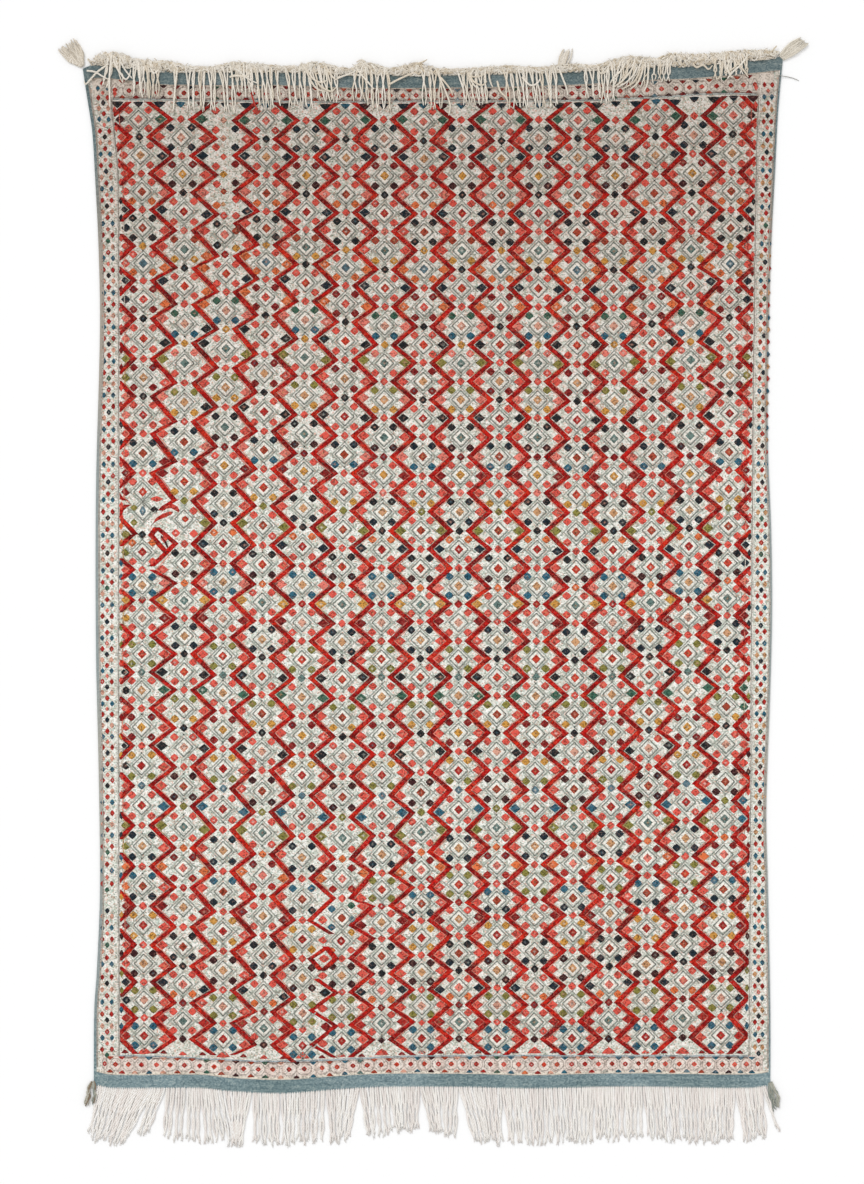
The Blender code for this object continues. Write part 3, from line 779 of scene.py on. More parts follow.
# The places where the weaver lost count, charted one by one: bands that stop and others that start
# beside them, a thick knot of red, and a small closed loop
STRAY_BANDS = [
    # (x, y) from end to end
    [(-579, 209), (-603, 194), (-611, 185)],
    [(-622, 146), (-579, 109), (-633, 58)],
    [(-621, 146), (-634, 129), (-601, 90)],
    [(-223, -692), (-277, -742), (-226, -772)],
    [(-236, -802), (-275, -828), (-249, -856), (-217, -828), (-240, -800)],
    [(-262, -873), (-217, -905), (-273, -945), (-217, -980), (-271, -1023), (-221, -1051)],
    [(-713, 226), (-706, 214), (-692, 207)],
    [(-687, 197), (-704, 184), (-708, 172), (-669, 130)],
]
STRAY_PATCHES = [
    # (x, y, half across, colour) from end to end
    [(-632, 151, 5, "7c1a1c"), (-626, 161, 8, "c03a2c"), (-612, 170, 9, "b3241d"), (-596, 176, 8, "cf4a3a"),
     (-586, 178, 4, "d8564a")],
    [(-609, 184, 6, "b3241d"), (-600, 193, 6, "d04a3c"), (-588, 194, 6, "c23127"), (-576, 188, 6, "d8564a"),
     (-571, 182, 3, "c23127")],
    [(-612, 126, 3, "5a1719"), (-603, 115, 4, "3e1518"), (-597, 101, 3, "4a1a1c")],
]

# (zigzag: between which two y it is not woven) and (zigzag: between which two y its turns stay empty)
FIELD_BOTTOM = -2000
BROKEN_BANDS = {-1: (135, 220), 0: (55, 200), 4: (FIELD_BOTTOM, -700)}
EMPTY_TURNS = {-1: (135, 220), 0: (54, 208), 4: (FIELD_BOTTOM, -690)}

bands = []
chevrons = []
for left in range(-1, len(COLUMNS)):
    turns = zigzag_turns(left)
    low, high = BROKEN_BANDS.get(left, (0, 0))
    whole = left not in BROKEN_BANDS
    for part in ([turn for turn in turns if whole or turn[1] > high],
                 [turn for turn in turns if not whole and turn[1] < low]):
        if part:
            bands += zigzag_runs(part)
    low, high = EMPTY_TURNS.get(left, (0, 0))
    for before, turn, after in zip(turns, turns[1:], turns[2:]):
        x, y, inward, row = turn
        if low < y < high:
            continue
        side_yarn = WEFT_ROWS[row][3]
        wide = spacing(left, y)
        middle = x + inward * (SIDE_INWARD - VERTEX_INWARD) * wide
        if left < 0 or left == len(COLUMNS) - 1:
            mark(lozenges, within_field(middle, y, 14.5), y, (11.5, 10), side_yarn, 0.35)
        else:
            mark(lozenges, middle, y, SIDE_HALF, side_yarn, 0.35, "pointed")
        shown = INNER_LINE.get(side_yarn, "e9a08c")
        steps = []
        for (far_x, far_y, *_), reach in (
            (before, 0.62), (before, 0.3), (turn, 0.0), (after, 0.3), (after, 0.62),
        ):
            line_x = x + (far_x - x) * reach + inward * (BAND_ACROSS + 2.2)
            line_y = y + (far_y - y) * reach
            if within_field(line_x, line_y, 2) != line_x:
                continue
            shade = tinted_yarn(shown, dice.uniform(0.92, 1.06))
            steps.append((line_x, line_y, 1.5, 0.0, shade))
        if len(steps) > 1:
            chevrons.append(steps)
for path in STRAY_BANDS:
    bands += zigzag_runs(path, 5)
for patch in STRAY_PATCHES:
    bands.append([(x, y, half * 0.4, half * 0.75, linear(code)) for x, y, half, code in patch])

strip_piece("zigzag_brocade", bands, brocade, BAND_HEIGHT, 1.3)
strip_piece("inner_line_brocade", chevrons, brocade, 1.35, 1.5, 2)

# The lozenges of those places, and the ones on the seam where the second column's two halves are out
# of step
for x, y, half, yarn in (
    (-653, 183, (8, 12), "steel"), (-673, 190, (9, 8), "olive"), (-627, 186, (10, 9), "black"),
    (-673, 157, (9, 9), "olive"), (-622, 210, (16, 7), "coral"), (-604, 120, (8, 10), "coral"),
    (-557, 165, (9, 8), "scarlet"), (-579, 133, (11, 10), "coral"),
    (-203, -736, (11, 11), "rust"), (-226, -716, (10, 9), "teal"), (-227, -757, (10, 9), "teal"),
    (-182, -708, (10, 9), "green"), (-180, -739, (9, 9), "steel"), (-205, -788, (11, 12), "red"),
    (-182, -768, (9, 9), "ochre"), (-226, -809, (9, 8), "orange"), (-183, -809, (10, 9), "coral"),
    (-244, -828, (13, 10), "coral"), (-245, -786, (13, 9), "coral"), (-247, -741, (12, 10), "coral"),
    (-247, -867, (12, 9), "coral"), (-242, -905, (14, 11), "black"), (-247, -941, (13, 10), "coral"),
    (-240, -982, (13, 11), "maroon"), (-247, -1020, (13, 10), "coral"),
    (-471, 1065, SEAM_HALF, "rose"), (-471, 1025, SEAM_HALF, "rose"), (-471, 983, SEAM_HALF, "coral"),
    (-471, 943, (10, 9), "ochre"), (-471, 904, SEAM_HALF, "rust"), (-472, 876, (6, 6), "tan"),
    (-470, 850, TIP_HALF, "coral"), (-468, 807, CENTRE_HALF, "pink"), (-468, 763, TIP_HALF, "red"),
):
    mark(lozenges, x, y, half, yarn, 0.6)
centres += [(-468, 807), (-203, -736), (-205, -788), (-653, 183), (-560, 165)]

# Half lozenges that close the columns along the field's head and foot lines
for column in range(-1, len(COLUMNS)):
    for part in (0.0, 0.5):
        head_y = along(FIELD_HEAD, column_x(column, 1110)) - 4
        x = column_x(column, 1110) + part * spacing(column, 1110)
        if FIELD_HEAD[0][0] + 8 < x < FIELD_HEAD[-1][0] - 8:
            yarn = dice.choice(("black", "navy", "plum")) if part else dice.choice(("teal", "navy"))
            mark(lozenges, x, head_y, (15, 15) if part else (12, 13), yarn, 0.2, "bottom")
        foot_y = along(FIELD_FOOT, column_x(column, -1046)) + 4
        x = column_x(column, -1046) + part * spacing(column, -1046)
        if FIELD_FOOT[0][0] + 8 < x < FIELD_FOOT[-1][0] - 8:
            size = (9, 8) if part else ((17, 15) if column % 2 == 0 else (10, 9))
            mark(lozenges, x, foot_y, size, "maroon" if part else "coral", 0.2, "top")

pad_piece("lozenge_brocade", lozenges, brocade, 1.1, 0.3)

# Outlines round each centre lozenge, of pale brocaded yarn: a bright cream halo, a closed diamond of
# grey-green yarn and, outside it, four lines that cross past their corners and break off here and there.
HALO_HALF = (18.5, 18.5)
OUTLINES = [
    # half width in mm, how far its lines run for each side of 1, yarn
    (21.0, 1.0, "8f948c"), (28.5, 1.3, "b0b4aa"),
]
halos = []
rings = []
for x, y in centres:
    mark(halos, x, y, HALO_HALF, "cream", 0.0)
    for half, reach, code in OUTLINES:
        for way_x, way_y in ((1, 1), (1, -1), (-1, 1), (-1, -1)):
            if reach > 1 and dice.random() < 0.12:
                continue
            start = dice.uniform(0, reach - 1)
            stop = dice.uniform(1, reach)
            line = []
            for t in (-start, 0.33, 0.67, stop):
                place_x, place_y = half * way_x * t, half * way_y * (1 - t)
                shade = tinted_yarn(code, dice.uniform(0.85, 1.15))
                line.append((x + place_x, y + place_y, 0.9, 0.9 if way_x == way_y else -0.9, shade))
            rings.append(line)
pad_piece("halo_brocade", halos, pale_brocade, 0.25, 0.15)
strip_piece("outline_brocade", rings, pale_brocade, 0.35, 0.6, 1)


# The border, brocaded in the same dyed yarns: small eyed diamonds in pale octagons along the head and
# foot, with half diamonds between them, and rows of small diamonds, single and in pairs, down the sides.
def u_at(x, v):
    """How far across the cloth a place at x is, at one v."""
    left, right = cloth_place(0.0, v).x, cloth_place(1.0, v).x
    return (x - left) / (right - left)


def spread(first, last, count):
    """Evenly spaced places from the first to the last."""
    if count == 1:
        return [(first + last) / 2]
    return [first + (last - first) * index / (count - 1) for index in range(count)]


border = []
octagons = []
border_lines = []
FOOT_PLACES = (
    -739, -715, -686, -656, -622, -591, -559, -525, -492, -460, -426, -393, -360, -323, -289, -248, -214,
    -179, -146, -115, -80, -48, -17, 14, 43, 69, 100, 132, 162, 195, 224, 253, 283, 315, 346, 376, 406, 437,
    467, 497, 527, 559, 592, 625, 656, 684, 710, 735,
)
HEAD_PLACES = (
    -716, -684, -653, -621, -592, -560, -532, -505, -471, -436, -405, -375, -345, -313, -280, -247, -212,
    -188, -165, -141, -118, -94, -66, -36, -5, 20, 45, 70, 93, 115, 141, 172, 201, 226, 250, 282, 316, 344,
    372, 398, 425, 455, 486, 518, 551, 582, 610, 643, 675, 703, 729,
)
FOOT_BETWEEN = (
    "rust red rose teal rose rust rust green rust plum rust green rose plum teal rust teal sage rust rust "
    "rose teal plum rust rose teal red green teal orange red rose teal rose red grey teal steel rust teal "
    "rust steel rust teal plum steel teal"
).split()
HEAD_BETWEEN = "rust maroon steel plum maroon navy rust green".split()
OCTAGON_HALF = 14.5
for places, between, field, v in (
    (FOOT_PLACES, FOOT_BETWEEN, FIELD_FOOT, FOOT_BAND),
    (HEAD_PLACES, HEAD_BETWEEN, FIELD_HEAD, 1 - HEAD_BAND),
):
    for index, x in enumerate(places):
        band_y = cloth_place(u_at(x, v), v).y
        field_y = along(field, x)
        outward = 1 if band_y > field_y else -1
        y = (band_y + field_y) / 2 - outward * 1.0
        half = (places[min(index + 1, len(places) - 1)] - places[max(index - 1, 0)]) / 4 * 0.96
        mark(octagons, x, y, (half, OCTAGON_HALF), "shell", 0.0)
        mark(border, x, y, (7.0, 6.6), dice.choice(("red", "scarlet", "coral", "red")), 0.8)
        if index < len(places) - 1:
            near = (x + places[index + 1]) / 2
            for place_y, keep in ((band_y - outward * 3, "bottom" if outward > 0 else "top"),
                                  (field_y + outward * 4, "top" if outward > 0 else "bottom")):
                mark(border, near, place_y, (9.0, 8.0), between[index % len(between)], 0.2, keep)
        outline = []
        for step in range(9):
            angle = math.pi / 4 * (step + 0.5)
            outline.append((x + half * math.cos(angle), y + OCTAGON_HALF * math.sin(angle),
                            0.8 * math.cos(angle), 0.8 * math.sin(angle),
                            tinted_yarn("c6bab0", dice.uniform(0.85, 1.15))))
        border_lines.append(outline)

SIDE_ORDER_RIGHT = ("navy centre", "red pair", "pink centre", "teal pair", "red centre", "tan pair")
SIDE_ORDER_LEFT = ("navy centre", "rose pair", "red centre", "teal pair", "pink centre", "red pair")
RIGHT_ROW = [
    # y, x
    (-1110, 738), (-759, 738), (-443, 741), (-81, 743), (303, 746), (570, 750), (845, 754), (1071, 758),
    (1185, 761),
]
LEFT_ROW = [
    # y, x
    (-1110, -734), (-757, -734), (-441, -733), (-79, -734), (305, -731), (570, -730), (802, -732),
    (1001, -738), (1132, -744), (1185, -748),
]
SIDE_ROWS = [
    # the row's middle, how far a pair stands from it, the order, (y of a navy mark, its number)
    (RIGHT_ROW, 8.6, SIDE_ORDER_RIGHT,
     [(-1042, 15), (-958, 14), (-475, 8), (166, 0), (911, -9), (1076, -11), (1160, -12)]),
    (LEFT_ROW, 10.6, SIDE_ORDER_LEFT,
     [(-673, 22), (-588, 21), (-438, 19), (-215, 16), (9, 13), (328, 9), (637, 5), (1028, 0), (1105, -1),
      (1170, -2)]),
    (LEFT_ROW, 10.6, SIDE_ORDER_LEFT, [(-1046, 3), (-967, 2), (-884, 1), (-798, 0), (-720, -1)]),
]
for middle, apart, order, knots in SIDE_ROWS:
    steps = 6 * (knots[0][1] - knots[-1][1])
    places = [(-number, y) for y, number in knots]
    for step in range(steps + 1):
        number = knots[-1][1] + step / 6
        y = along(places, -number)
        x = along(middle, y)
        if y > 1150:
            continue
        yarn, kind = order[step % 6].split()
        yarn = dice.choice(("navy", "navy", "green", "black")) if yarn == "navy" else yarn
        if kind == "centre":
            mark(border, x, y, (5.0, 6.0) if yarn == "pink" else (6.0, 7.4), yarn, 0.3)
        else:
            for side in (-1, 1):
                mark(border, x + side * apart, y, (5.6, 7.4), yarn, 0.1)
pad_piece("border_brocade", border, brocade, 0.8, 0.25)
pad_piece("octagon_brocade", octagons, pale_brocade, 0.25, 0.15)

# The head and foot borders' own ground, of pinkish cream wool: two strips, woven flat between the field
# and the blue wool.
border_ground = []
FOOT_GROUND = ("ecdcd2", "f2e6dc", "e6d3c8", "f3e9e0")
HEAD_GROUND = ("e6dfd3", "ece6da", "dad3c6", "f0eadf")
for field, v, wools in ((FIELD_FOOT, FOOT_BAND, FOOT_GROUND), (FIELD_HEAD, 1 - HEAD_BAND, HEAD_GROUND)):
    line = []
    for u in spread(0.011, 0.989, 241):
        place = cloth_place(u, v)
        inner = along(field, min(max(place.x, field[0][0]), field[-1][0]))
        shade = tinted_yarn(dice.choice(wools), dice.uniform(0.96, 1.04))
        line.append((place.x, (place.y + inner) / 2, 0.0, abs(place.y - inner) / 2, shade))
    border_ground.append(line)
strip_piece("border_ground_brocade", border_ground, pale_brocade, 0.12, 0.3)

# Fine lines of single weft and warp yarns, woven along the field's four sides and beside the blue band
# and the selvedges. Each is a narrow strip whose shade varies from stitch to stitch.
def fine_line(places, half_x, half_y, code, least, most):
    """Note one fine line through places in mm, its yarn made darker or lighter between these factors."""
    border_lines.append([
        (x, y, half_x, half_y, tinted_yarn(code, dice.uniform(least, most))) for x, y in places
    ])


for field, code, shift, half in (
    (FIELD_HEAD, "b9c2bf", 1.5, 1.8), (FIELD_HEAD, "7d6d68", 5.0, 0.9), (FIELD_FOOT, "a9b6bb", -2.0, 1.8),
    (FIELD_FOOT, "7d6d68", -5.5, 0.9),
):
    across = spread(field[0][0], field[-1][0], 181)
    fine_line([(x, along(field, x) + shift) for x in across], 0.0, half, code, 0.75, 1.25)
for field, way in ((FIELD_LEFT, -1), (FIELD_RIGHT, 1)):
    up = spread(field[0][0], field[-1][0], 241)
    for code, shift, half in (("b5afa6", 1.5, 0.8), ("e6e3d9", 4.5, 1.4)):
        fine_line([(along(field, y) + way * shift, y) for y in up], half, 0.0, code, 0.7, 1.2)
for v, half, code in ((FOOT_BAND + 0.0012, 3.0, "ece3d4"), (1 - HEAD_BAND - 0.0006, 1.2, "cfc6b8")):
    fine_line([cloth_place(u, v) for u in spread(0.004, 0.996, 181)], 0.0, half, code, 0.9, 1.1)
for u in (LEFT_SELVEDGE + 0.001, 1 - RIGHT_SELVEDGE - 0.001):
    fine_line([cloth_place(u, v) for v in spread(0.018, 0.982, 241)], 1.6, 0.0, "b4ada3", 0.85, 1.15)
strip_piece("border_line_brocade", border_lines, pale_brocade, 0.35, 0.5, 2)

# Fringes: the cloth's own warp ends, hand-spun cream wool of two plies. At the foot they lie out on the
# floor in bunches; at the head they loop up over the edge and fall back over the face.
LEAST_SPACING = 3.6
FOOT_BUNCHES = [
    # first root x, last root x, first tip x, last tip x, strands
    (-751, -635, -774, -687, 13), (-629, -608, -660, -640, 3), (-597, -597, -606, -606, 1),
    (-586, -562, -594, -565, 3), (-549, -479, -551, -459, 8), (-467, -413, -452, -434, 6),
    (-400, -390, -401, -388, 2), (-379, -350, -375, -350, 4), (-336, -336, -334, -334, 1),
    (-323, -270, -323, -270, 6), (-258, -247, -262, -249, 2), (-235, -170, -226, -190, 7),
    (-159, -148, -145, -136, 2), (-136, -93, -130, -82, 5), (-83, -33, -72, -35, 6),
    (-22, 54, 0, 50, 8), (65, 152, 97, 157, 9), (162, 246, 176, 248, 9), (257, 278, 262, 284, 3),
    (289, 310, 297, 313, 3), (321, 332, 323, 334, 2), (343, 398, 343, 400, 7),
    (408, 470, 410, 472, 7), (481, 520, 491, 529, 5), (531, 592, 541, 597, 7),
    (602, 680, 608, 680, 9), (690, 742, 706, 752, 7), (751, 751, 780, 780, 1),
]
FOOT_TIPS = [
    # x, y
    (-776, -1222), (-768, -1234), (-714, -1243), (-642, -1223), (-570, -1236), (-443, -1245),
    (-389, -1248), (-208, -1238), (-63, -1216), (-9, -1218), (154, -1243), (244, -1241),
    (515, -1234), (606, -1241), (740, -1234), (780, -1218),
]
HEAD_BUNCHES = [
    # first root x, last root x, shift of the tips, reach down the face, strands
    (-766, -744, 0, 12, 3), (-733, -733, -36, 48, 1), (-721, -721, -9, 55, 1), (-709, -709, 8, 32, 1),
    (-697, -685, 0, 13, 2), (-672, -619, 0, 58, 6), (-607, -590, 0, 12, 2), (-578, -578, -4, 69, 1),
    (-564, -564, 0, 12, 1), (-550, -490, 2, 87, 6), (-478, -452, 8, 91, 3), (-440, -407, 4, 46, 4),
    (-396, -353, 9, 81, 5), (-341, -341, 0, 12, 1), (-327, -277, 8, 77, 5), (-266, -219, 8, 60, 5),
    (-207, -188, 0, 13, 2), (-175, -175, 0, 57, 1), (-162, -150, 5, 66, 2), (-138, -99, 2, 80, 4),
    (-86, -32, -6, 16, 5), (-19, 18, 2, 73, 4), (29, 52, 0, 14, 3), (63, 118, 9, 66, 6),
    (129, 154, 0, 15, 3), (166, 257, 9, 77, 9), (267, 278, 2, 77, 2), (330, 330, 0, 14, 1),
    (346, 374, 3, 62, 3), (386, 410, 0, 74, 3), (421, 486, -12, 42, 7), (501, 536, 0, 34, 4),
    (547, 575, 0, 14, 3), (587, 628, 0, 17, 5), (639, 662, 0, 34, 3), (673, 708, 0, 30, 4),
    (720, 772, 0, 13, 6),
]
HEAD_TUFT = (287, 321, 50, 6)
RIDGE = [
    # x, y of the loops' outer side
    (-773, 1205), (-739, 1220), (-705, 1218), (-660, 1205), (-592, 1200), (-547, 1189), (-490, 1189),
    (-445, 1198), (-389, 1193), (-321, 1189), (-264, 1198), (-185, 1184), (-158, 1200), (-140, 1196),
    (-95, 1184), (-38, 1196), (18, 1183), (86, 1184), (165, 1189), (244, 1186), (285, 1192),
    (334, 1193), (368, 1191), (402, 1202), (447, 1211), (508, 1207), (538, 1217), (617, 1216),
    (673, 1222), (730, 1225), (768, 1225), (793, 1222),
]
RIDGE_TOP = 12.0
PLIES_IN_YARN = 22.0

# Warp yarn, hand-spun cream wool of two plies: matt and hairy, with painted shade in the groove between its
# plies and in flecks among its hairs.
warp, tree, shader = new_material("hand-spun cream warp yarn", 0.9, 0.2)
place = add_node(tree, "TexCoord").outputs["Object"]
dyed = add_node(tree, "Attribute", attribute_name="yarn").outputs["Color"]
hairs = add_node(tree, "TexNoise", {"Vector": place, "Scale": 420.0, "Detail": 2.0})
# Fine noise darkens the yarn in flecks: painted shade among the hairs.
depth = add_node(tree, "ValToRGB", {"Fac": hairs.outputs["Fac"]}, [(0.32, "dedbd5"), (0.55, "ffffff")])
turned = add_node(tree, "UVMap", uv_map="ply").outputs["UV"]
apart = add_node(tree, "SeparateXYZ", {"Vector": turned})
length = add_node(tree, "Math", {0: apart.outputs["Y"], 1: PLIES_IN_YARN}, operation="MULTIPLY")
spot = add_node(tree, "SeparateXYZ", {"Vector": place})
begun = add_node(tree, "Math", {0: spot.outputs["X"], 1: 170.0, 2: length.outputs[0]},
                 operation="MULTIPLY_ADD")
around = add_node(tree, "Math", {0: apart.outputs["X"], 1: 2.0, 2: begun.outputs[0]},
                  operation="MULTIPLY_ADD")
phase = add_node(tree, "Math", {0: around.outputs[0], 1: 2 * math.pi}, operation="MULTIPLY")
wave = add_node(tree, "Math", {0: phase.outputs[0]}, operation="SINE")
height = add_node(tree, "MapRange", {"Value": wave.outputs[0], "From Min": -1.0})
# Darker in the groove between the plies: painted shade.
painted_groove_shade = add_node(tree, "ValToRGB", {"Fac": height.outputs[0]}, [
    (0.0, "d6cec5"), (0.30, "f8f5f2"), (0.55, "ffffff"),
])
base = add_node(tree, "MixRGB", {"Fac": 0.7, "Color1": dyed, "Color2": depth.outputs[0]},
                blend_type="MULTIPLY")
plied = add_node(tree, "MixRGB", {"Fac": 1.0, "Color1": base.outputs[0], "Color2": painted_groove_shade.outputs[0]},
                 blend_type="MULTIPLY")
tree.links.new(plied.outputs[0], shader.inputs["Base Color"])
rounds = add_node(tree, "Math", {0: wave.outputs[0], 1: hairs.outputs["Fac"]}, operation="ADD")
bump = add_node(tree, "Bump", {"Height": rounds.outputs[0], "Strength": 0.5, "Distance": 0.0006})
tree.links.new(bump.outputs["Normal"], shader.inputs["Normal"])


def spaced(places):
    """Ordered places, eased apart until no two neighbours are closer than the least spacing."""
    places = sorted(places)
    for _ in range(200):
        for index in range(len(places) - 1):
            short = LEAST_SPACING - (places[index + 1] - places[index])
            if short > 0:
                places[index] -= short / 2
                places[index + 1] += short / 2
    return places


def curve_through(points, count):
    """So many places along the smooth curve through a few points."""
    last = len(points) - 1
    found = []
    for index in range(count):
        at = index / (count - 1) * last
        step = min(int(at), last - 1)
        t = at - step
        before = points[max(step - 1, 0)]
        start, end = points[step], points[step + 1]
        after = points[min(step + 2, last)]
        leave, arrive = (end - before) * 0.5, (after - start) * 0.5
        found.append(start * (2 * t ** 3 - 3 * t * t + 1) + leave * (t ** 3 - 2 * t * t + t)
                     + end * (3 * t * t - 2 * t ** 3) + arrive * (t ** 3 - t * t))
    return found


def yarn_piece(name, yarns, material, rings, flatness=1.0):
    """One piece of two-ply yarns; a yarn is (points in mm, radius in mm, radius at the tip, colour)."""
    one = bmesh.new()
    bmesh.ops.create_circle(one, cap_ends=True, segments=6, radius=1.0)
    face = one.faces[:][0]
    for ring in range(1, rings):
        face = bmesh.ops.extrude_discrete_faces(one, faces=[face])["faces"][0]
        for vert in face.verts:
            vert.co.z = ring
    bmesh.ops.holes_fill(one, edges=one.edges[:], sides=6)
    bmesh.ops.recalc_face_normals(one, faces=one.faces[:])
    ply = one.loops.layers.uv.new("ply")
    for side in one.faces:
        middle = side.calc_center_median()
        facing = math.atan2(middle.y, middle.x)
        for loop in side.loops:
            angle = math.atan2(loop.vert.co.y, loop.vert.co.x) - facing
            angle = facing + math.remainder(angle, 2 * math.pi)
            loop[ply].uv = (angle / (2 * math.pi), loop.vert.co.z / (rings - 1))
    template = bpy.data.meshes.new(name + " template")
    one.to_mesh(template)
    one.free()
    many, size = copies(template, len(yarns))
    dye = many.verts.layers.float_color.new("yarn")
    laid = []
    for points, *_ in yarns:
        places = curve_through(points, rings)
        frames = []
        for index, spot in enumerate(places):
            ahead = (places[min(index + 1, rings - 1)] - places[max(index - 1, 0)]).normalized()
            side = ahead.cross((0, 0, 1))
            side = side.normalized() if side.length > 0.05 else Vector((1, 0, 0))
            frames.append((spot, side, side.cross(ahead)))
        laid.append(frames)
    for index, vert in enumerate(many.verts):
        frames = laid[index // size]
        _, radius, tip_radius, colour = yarns[index // size]
        ring = round(vert.co.z)
        spot, side, above = frames[ring]
        t = ring / (rings - 1)
        wide = radius + (tip_radius - radius) * t ** 3
        turn = ring * 0.82 + (index // size) * 1.7
        angle = math.atan2(vert.co.y, vert.co.x)
        lobe = 0.9 + 0.1 * math.cos(2 * (angle - turn))
        across, level = math.cos(angle) * lobe, math.sin(angle) * lobe
        vert[dye] = colour
        spot = spot + side * (across * wide) + above * (level * wide * flatness)
        vert.co = Vector((spot.x * MM + OFF_CENTRE.x, spot.y * MM + OFF_CENTRE.y, spot.z * MM))
    return finish_piece(name, many, material)


def edge_y(x, v):
    """The y of the cloth's foot or head edge at x."""
    return cloth_place(u_at(x, v), v).y


WOOLS = ("faf8f5", "f6f2ef", "fdfbf9", "f5f0ed", "f8f6f3")
HEAD_WOOLS = ("f4eee2", "eee6d8", "f9f3e9", "e9dfce", "f3eee4")
YARN_RADIUS = 3.1
HEAD_RADIUS = 2.6
roots, tips = [], []
for first_root, last_root, first_tip, last_tip, count in FOOT_BUNCHES:
    roots += spread(first_root, last_root, count)
    tips += spread(first_tip, last_tip, count)
yarns = []
frayed = []
for root, tip in zip(spaced(roots), spaced(tips)):
    edge = edge_y(root, 0.0)
    end = along(FOOT_TIPS, tip)
    for side in (-1, 1):
        stray = dice.uniform(-3.0, 3.0)
        points = [
            Vector((root + side * 2.3, edge + 2.5, 1.8)),
            Vector((root + side * 2.4, edge - 6, 1.9)),
            Vector((root + (tip - root) * 0.33 + side * 2.5 + stray * 0.4, edge * 0.67 + end * 0.33,
                    1.7 + dice.uniform(0, 1.2))),
            Vector((root + (tip - root) * 0.7 - side * 2.0 + stray, edge * 0.3 + end * 0.7,
                    1.7 + dice.uniform(0, 1.0))),
            Vector((tip + side * 2.6 + stray * 1.2, end + dice.uniform(-5, 12), 1.6)),
        ]
        shade = tinted_yarn(dice.choice(WOOLS), dice.uniform(0.97, 1.07))
        yarns.append((points, YARN_RADIUS, 2.4, shade))
        last = points[-1]
        for _ in range(3):
            away = Vector((dice.uniform(-4, 4), dice.uniform(-7, -2), 0))
            points = [last + Vector((0, 5, 0.4)), last + away * 0.4, last + away]
            frayed.append((points, 1.1, 0.6, shade))
foot_fringe = yarn_piece("foot_warp_ends", yarns, warp, 20, 0.55)
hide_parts("bottom_fringe")
yarn_piece("foot_frayed_tips", frayed, warp, 4, 0.6)

STRAY_STRANDS = [
    # (x, y) from the ridge to the end, for the ones that cross the others
    [(-730, 1192), (-744, 1182), (-757, 1172), (-771, 1157), (-782, 1146), (-785, 1153)],
    [(-722, 1216), (-725, 1193), (-728, 1157), (-728, 1130), (-727, 1094)],
    [(-719, 1202), (-712, 1184), (-703, 1171), (-692, 1157), (-683, 1166), (-680, 1180)],
    [(-779, 1176), (-766, 1175), (-757, 1172), (-744, 1164), (-730, 1157)],
    [(-705, 1202), (-696, 1184), (-687, 1171), (-676, 1159)],
    [(-662, 1196), (-660, 1168), (-658, 1135), (-653, 1116)],
    [(-642, 1193), (-637, 1175), (-619, 1184), (-601, 1193)],
    [(-646, 1189), (-642, 1166), (-640, 1135), (-637, 1114)],
    [(-574, 1184), (-577, 1162), (-580, 1135), (-583, 1098), (-585, 1085)],
    [(-633, 1198), (-635, 1184), (-628, 1171), (-617, 1180), (-615, 1193)],
    [(-457, 1162), (-441, 1165), (-423, 1164), (-409, 1173), (-395, 1182)],
    [(-447, 1182), (-434, 1175), (-423, 1164), (-409, 1155), (-393, 1148)],
    [(-425, 1193), (-424, 1166), (-421, 1135), (-420, 1116)],
    [(-454, 1163), (-443, 1166), (-429, 1162)],
    [(-294, 1189), (-280, 1175), (-267, 1157), (-249, 1150), (-235, 1157)],
    [(-240, 1189), (-231, 1171), (-217, 1157), (-208, 1166)],
    [(-215, 1158), (-199, 1165), (-181, 1171), (-167, 1180)],
    [(-258, 1150), (-249, 1139), (-228, 1130), (-217, 1139)],
    [(-172, 1184), (-158, 1166), (-142, 1148), (-131, 1135)],
    [(-285, 1180), (-273, 1153), (-258, 1135), (-237, 1130)],
    [(-97, 1145), (-79, 1155), (-56, 1166), (-36, 1174), (-18, 1189)],
    [(14, 1166), (27, 1153), (41, 1135), (47, 1121)],
    [(77, 1177), (90, 1164), (108, 1164), (122, 1173)],
    [(81, 1166), (97, 1150), (113, 1144), (124, 1153)],
    [(95, 1180), (86, 1162), (95, 1144), (108, 1135)],
    [(133, 1184), (129, 1166), (133, 1148), (138, 1139)],
    [(9, 1180), (23, 1148), (34, 1121), (41, 1098), (38, 1076)],
    [(203, 1162), (221, 1144), (237, 1148), (246, 1162)],
    [(147, 1153), (154, 1130), (167, 1116), (172, 1103)],
    [(457, 1189), (445, 1171), (429, 1153), (409, 1139)],
    [(463, 1184), (454, 1166), (438, 1150), (418, 1139)],
    [(470, 1180), (463, 1162), (452, 1148), (429, 1135)],
    [(477, 1189), (472, 1166), (463, 1148), (447, 1135)],
    [(488, 1193), (488, 1171), (486, 1148), (479, 1130)],
    [(436, 1193), (425, 1175), (411, 1162), (402, 1148)],
    [(371, 1189), (380, 1171), (393, 1175), (398, 1189)],
    [(287, 1180), (294, 1162), (303, 1139), (307, 1121)],
    [(588, 1193), (597, 1184), (612, 1189), (624, 1180), (633, 1189)],
    [(685, 1202), (696, 1186), (707, 1173), (714, 1162)],
    [(710, 1207), (696, 1189), (680, 1175), (667, 1159)],
    [(673, 1202), (667, 1184), (673, 1166), (680, 1162)],
    [(655, 1198), (655, 1180), (649, 1162), (642, 1157)],
    [(696, 1202), (683, 1184), (660, 1171)],
]
rows = []
for first, last, shift, reach, count in HEAD_BUNCHES:
    rows += [(root, root + shift, reach) for root in spread(first, last, count)]
first, last, out, count = HEAD_TUFT
rows += [(root, root, -out) for root in spread(first, last, count)]
rows.sort()
yarns = []
wisps = []
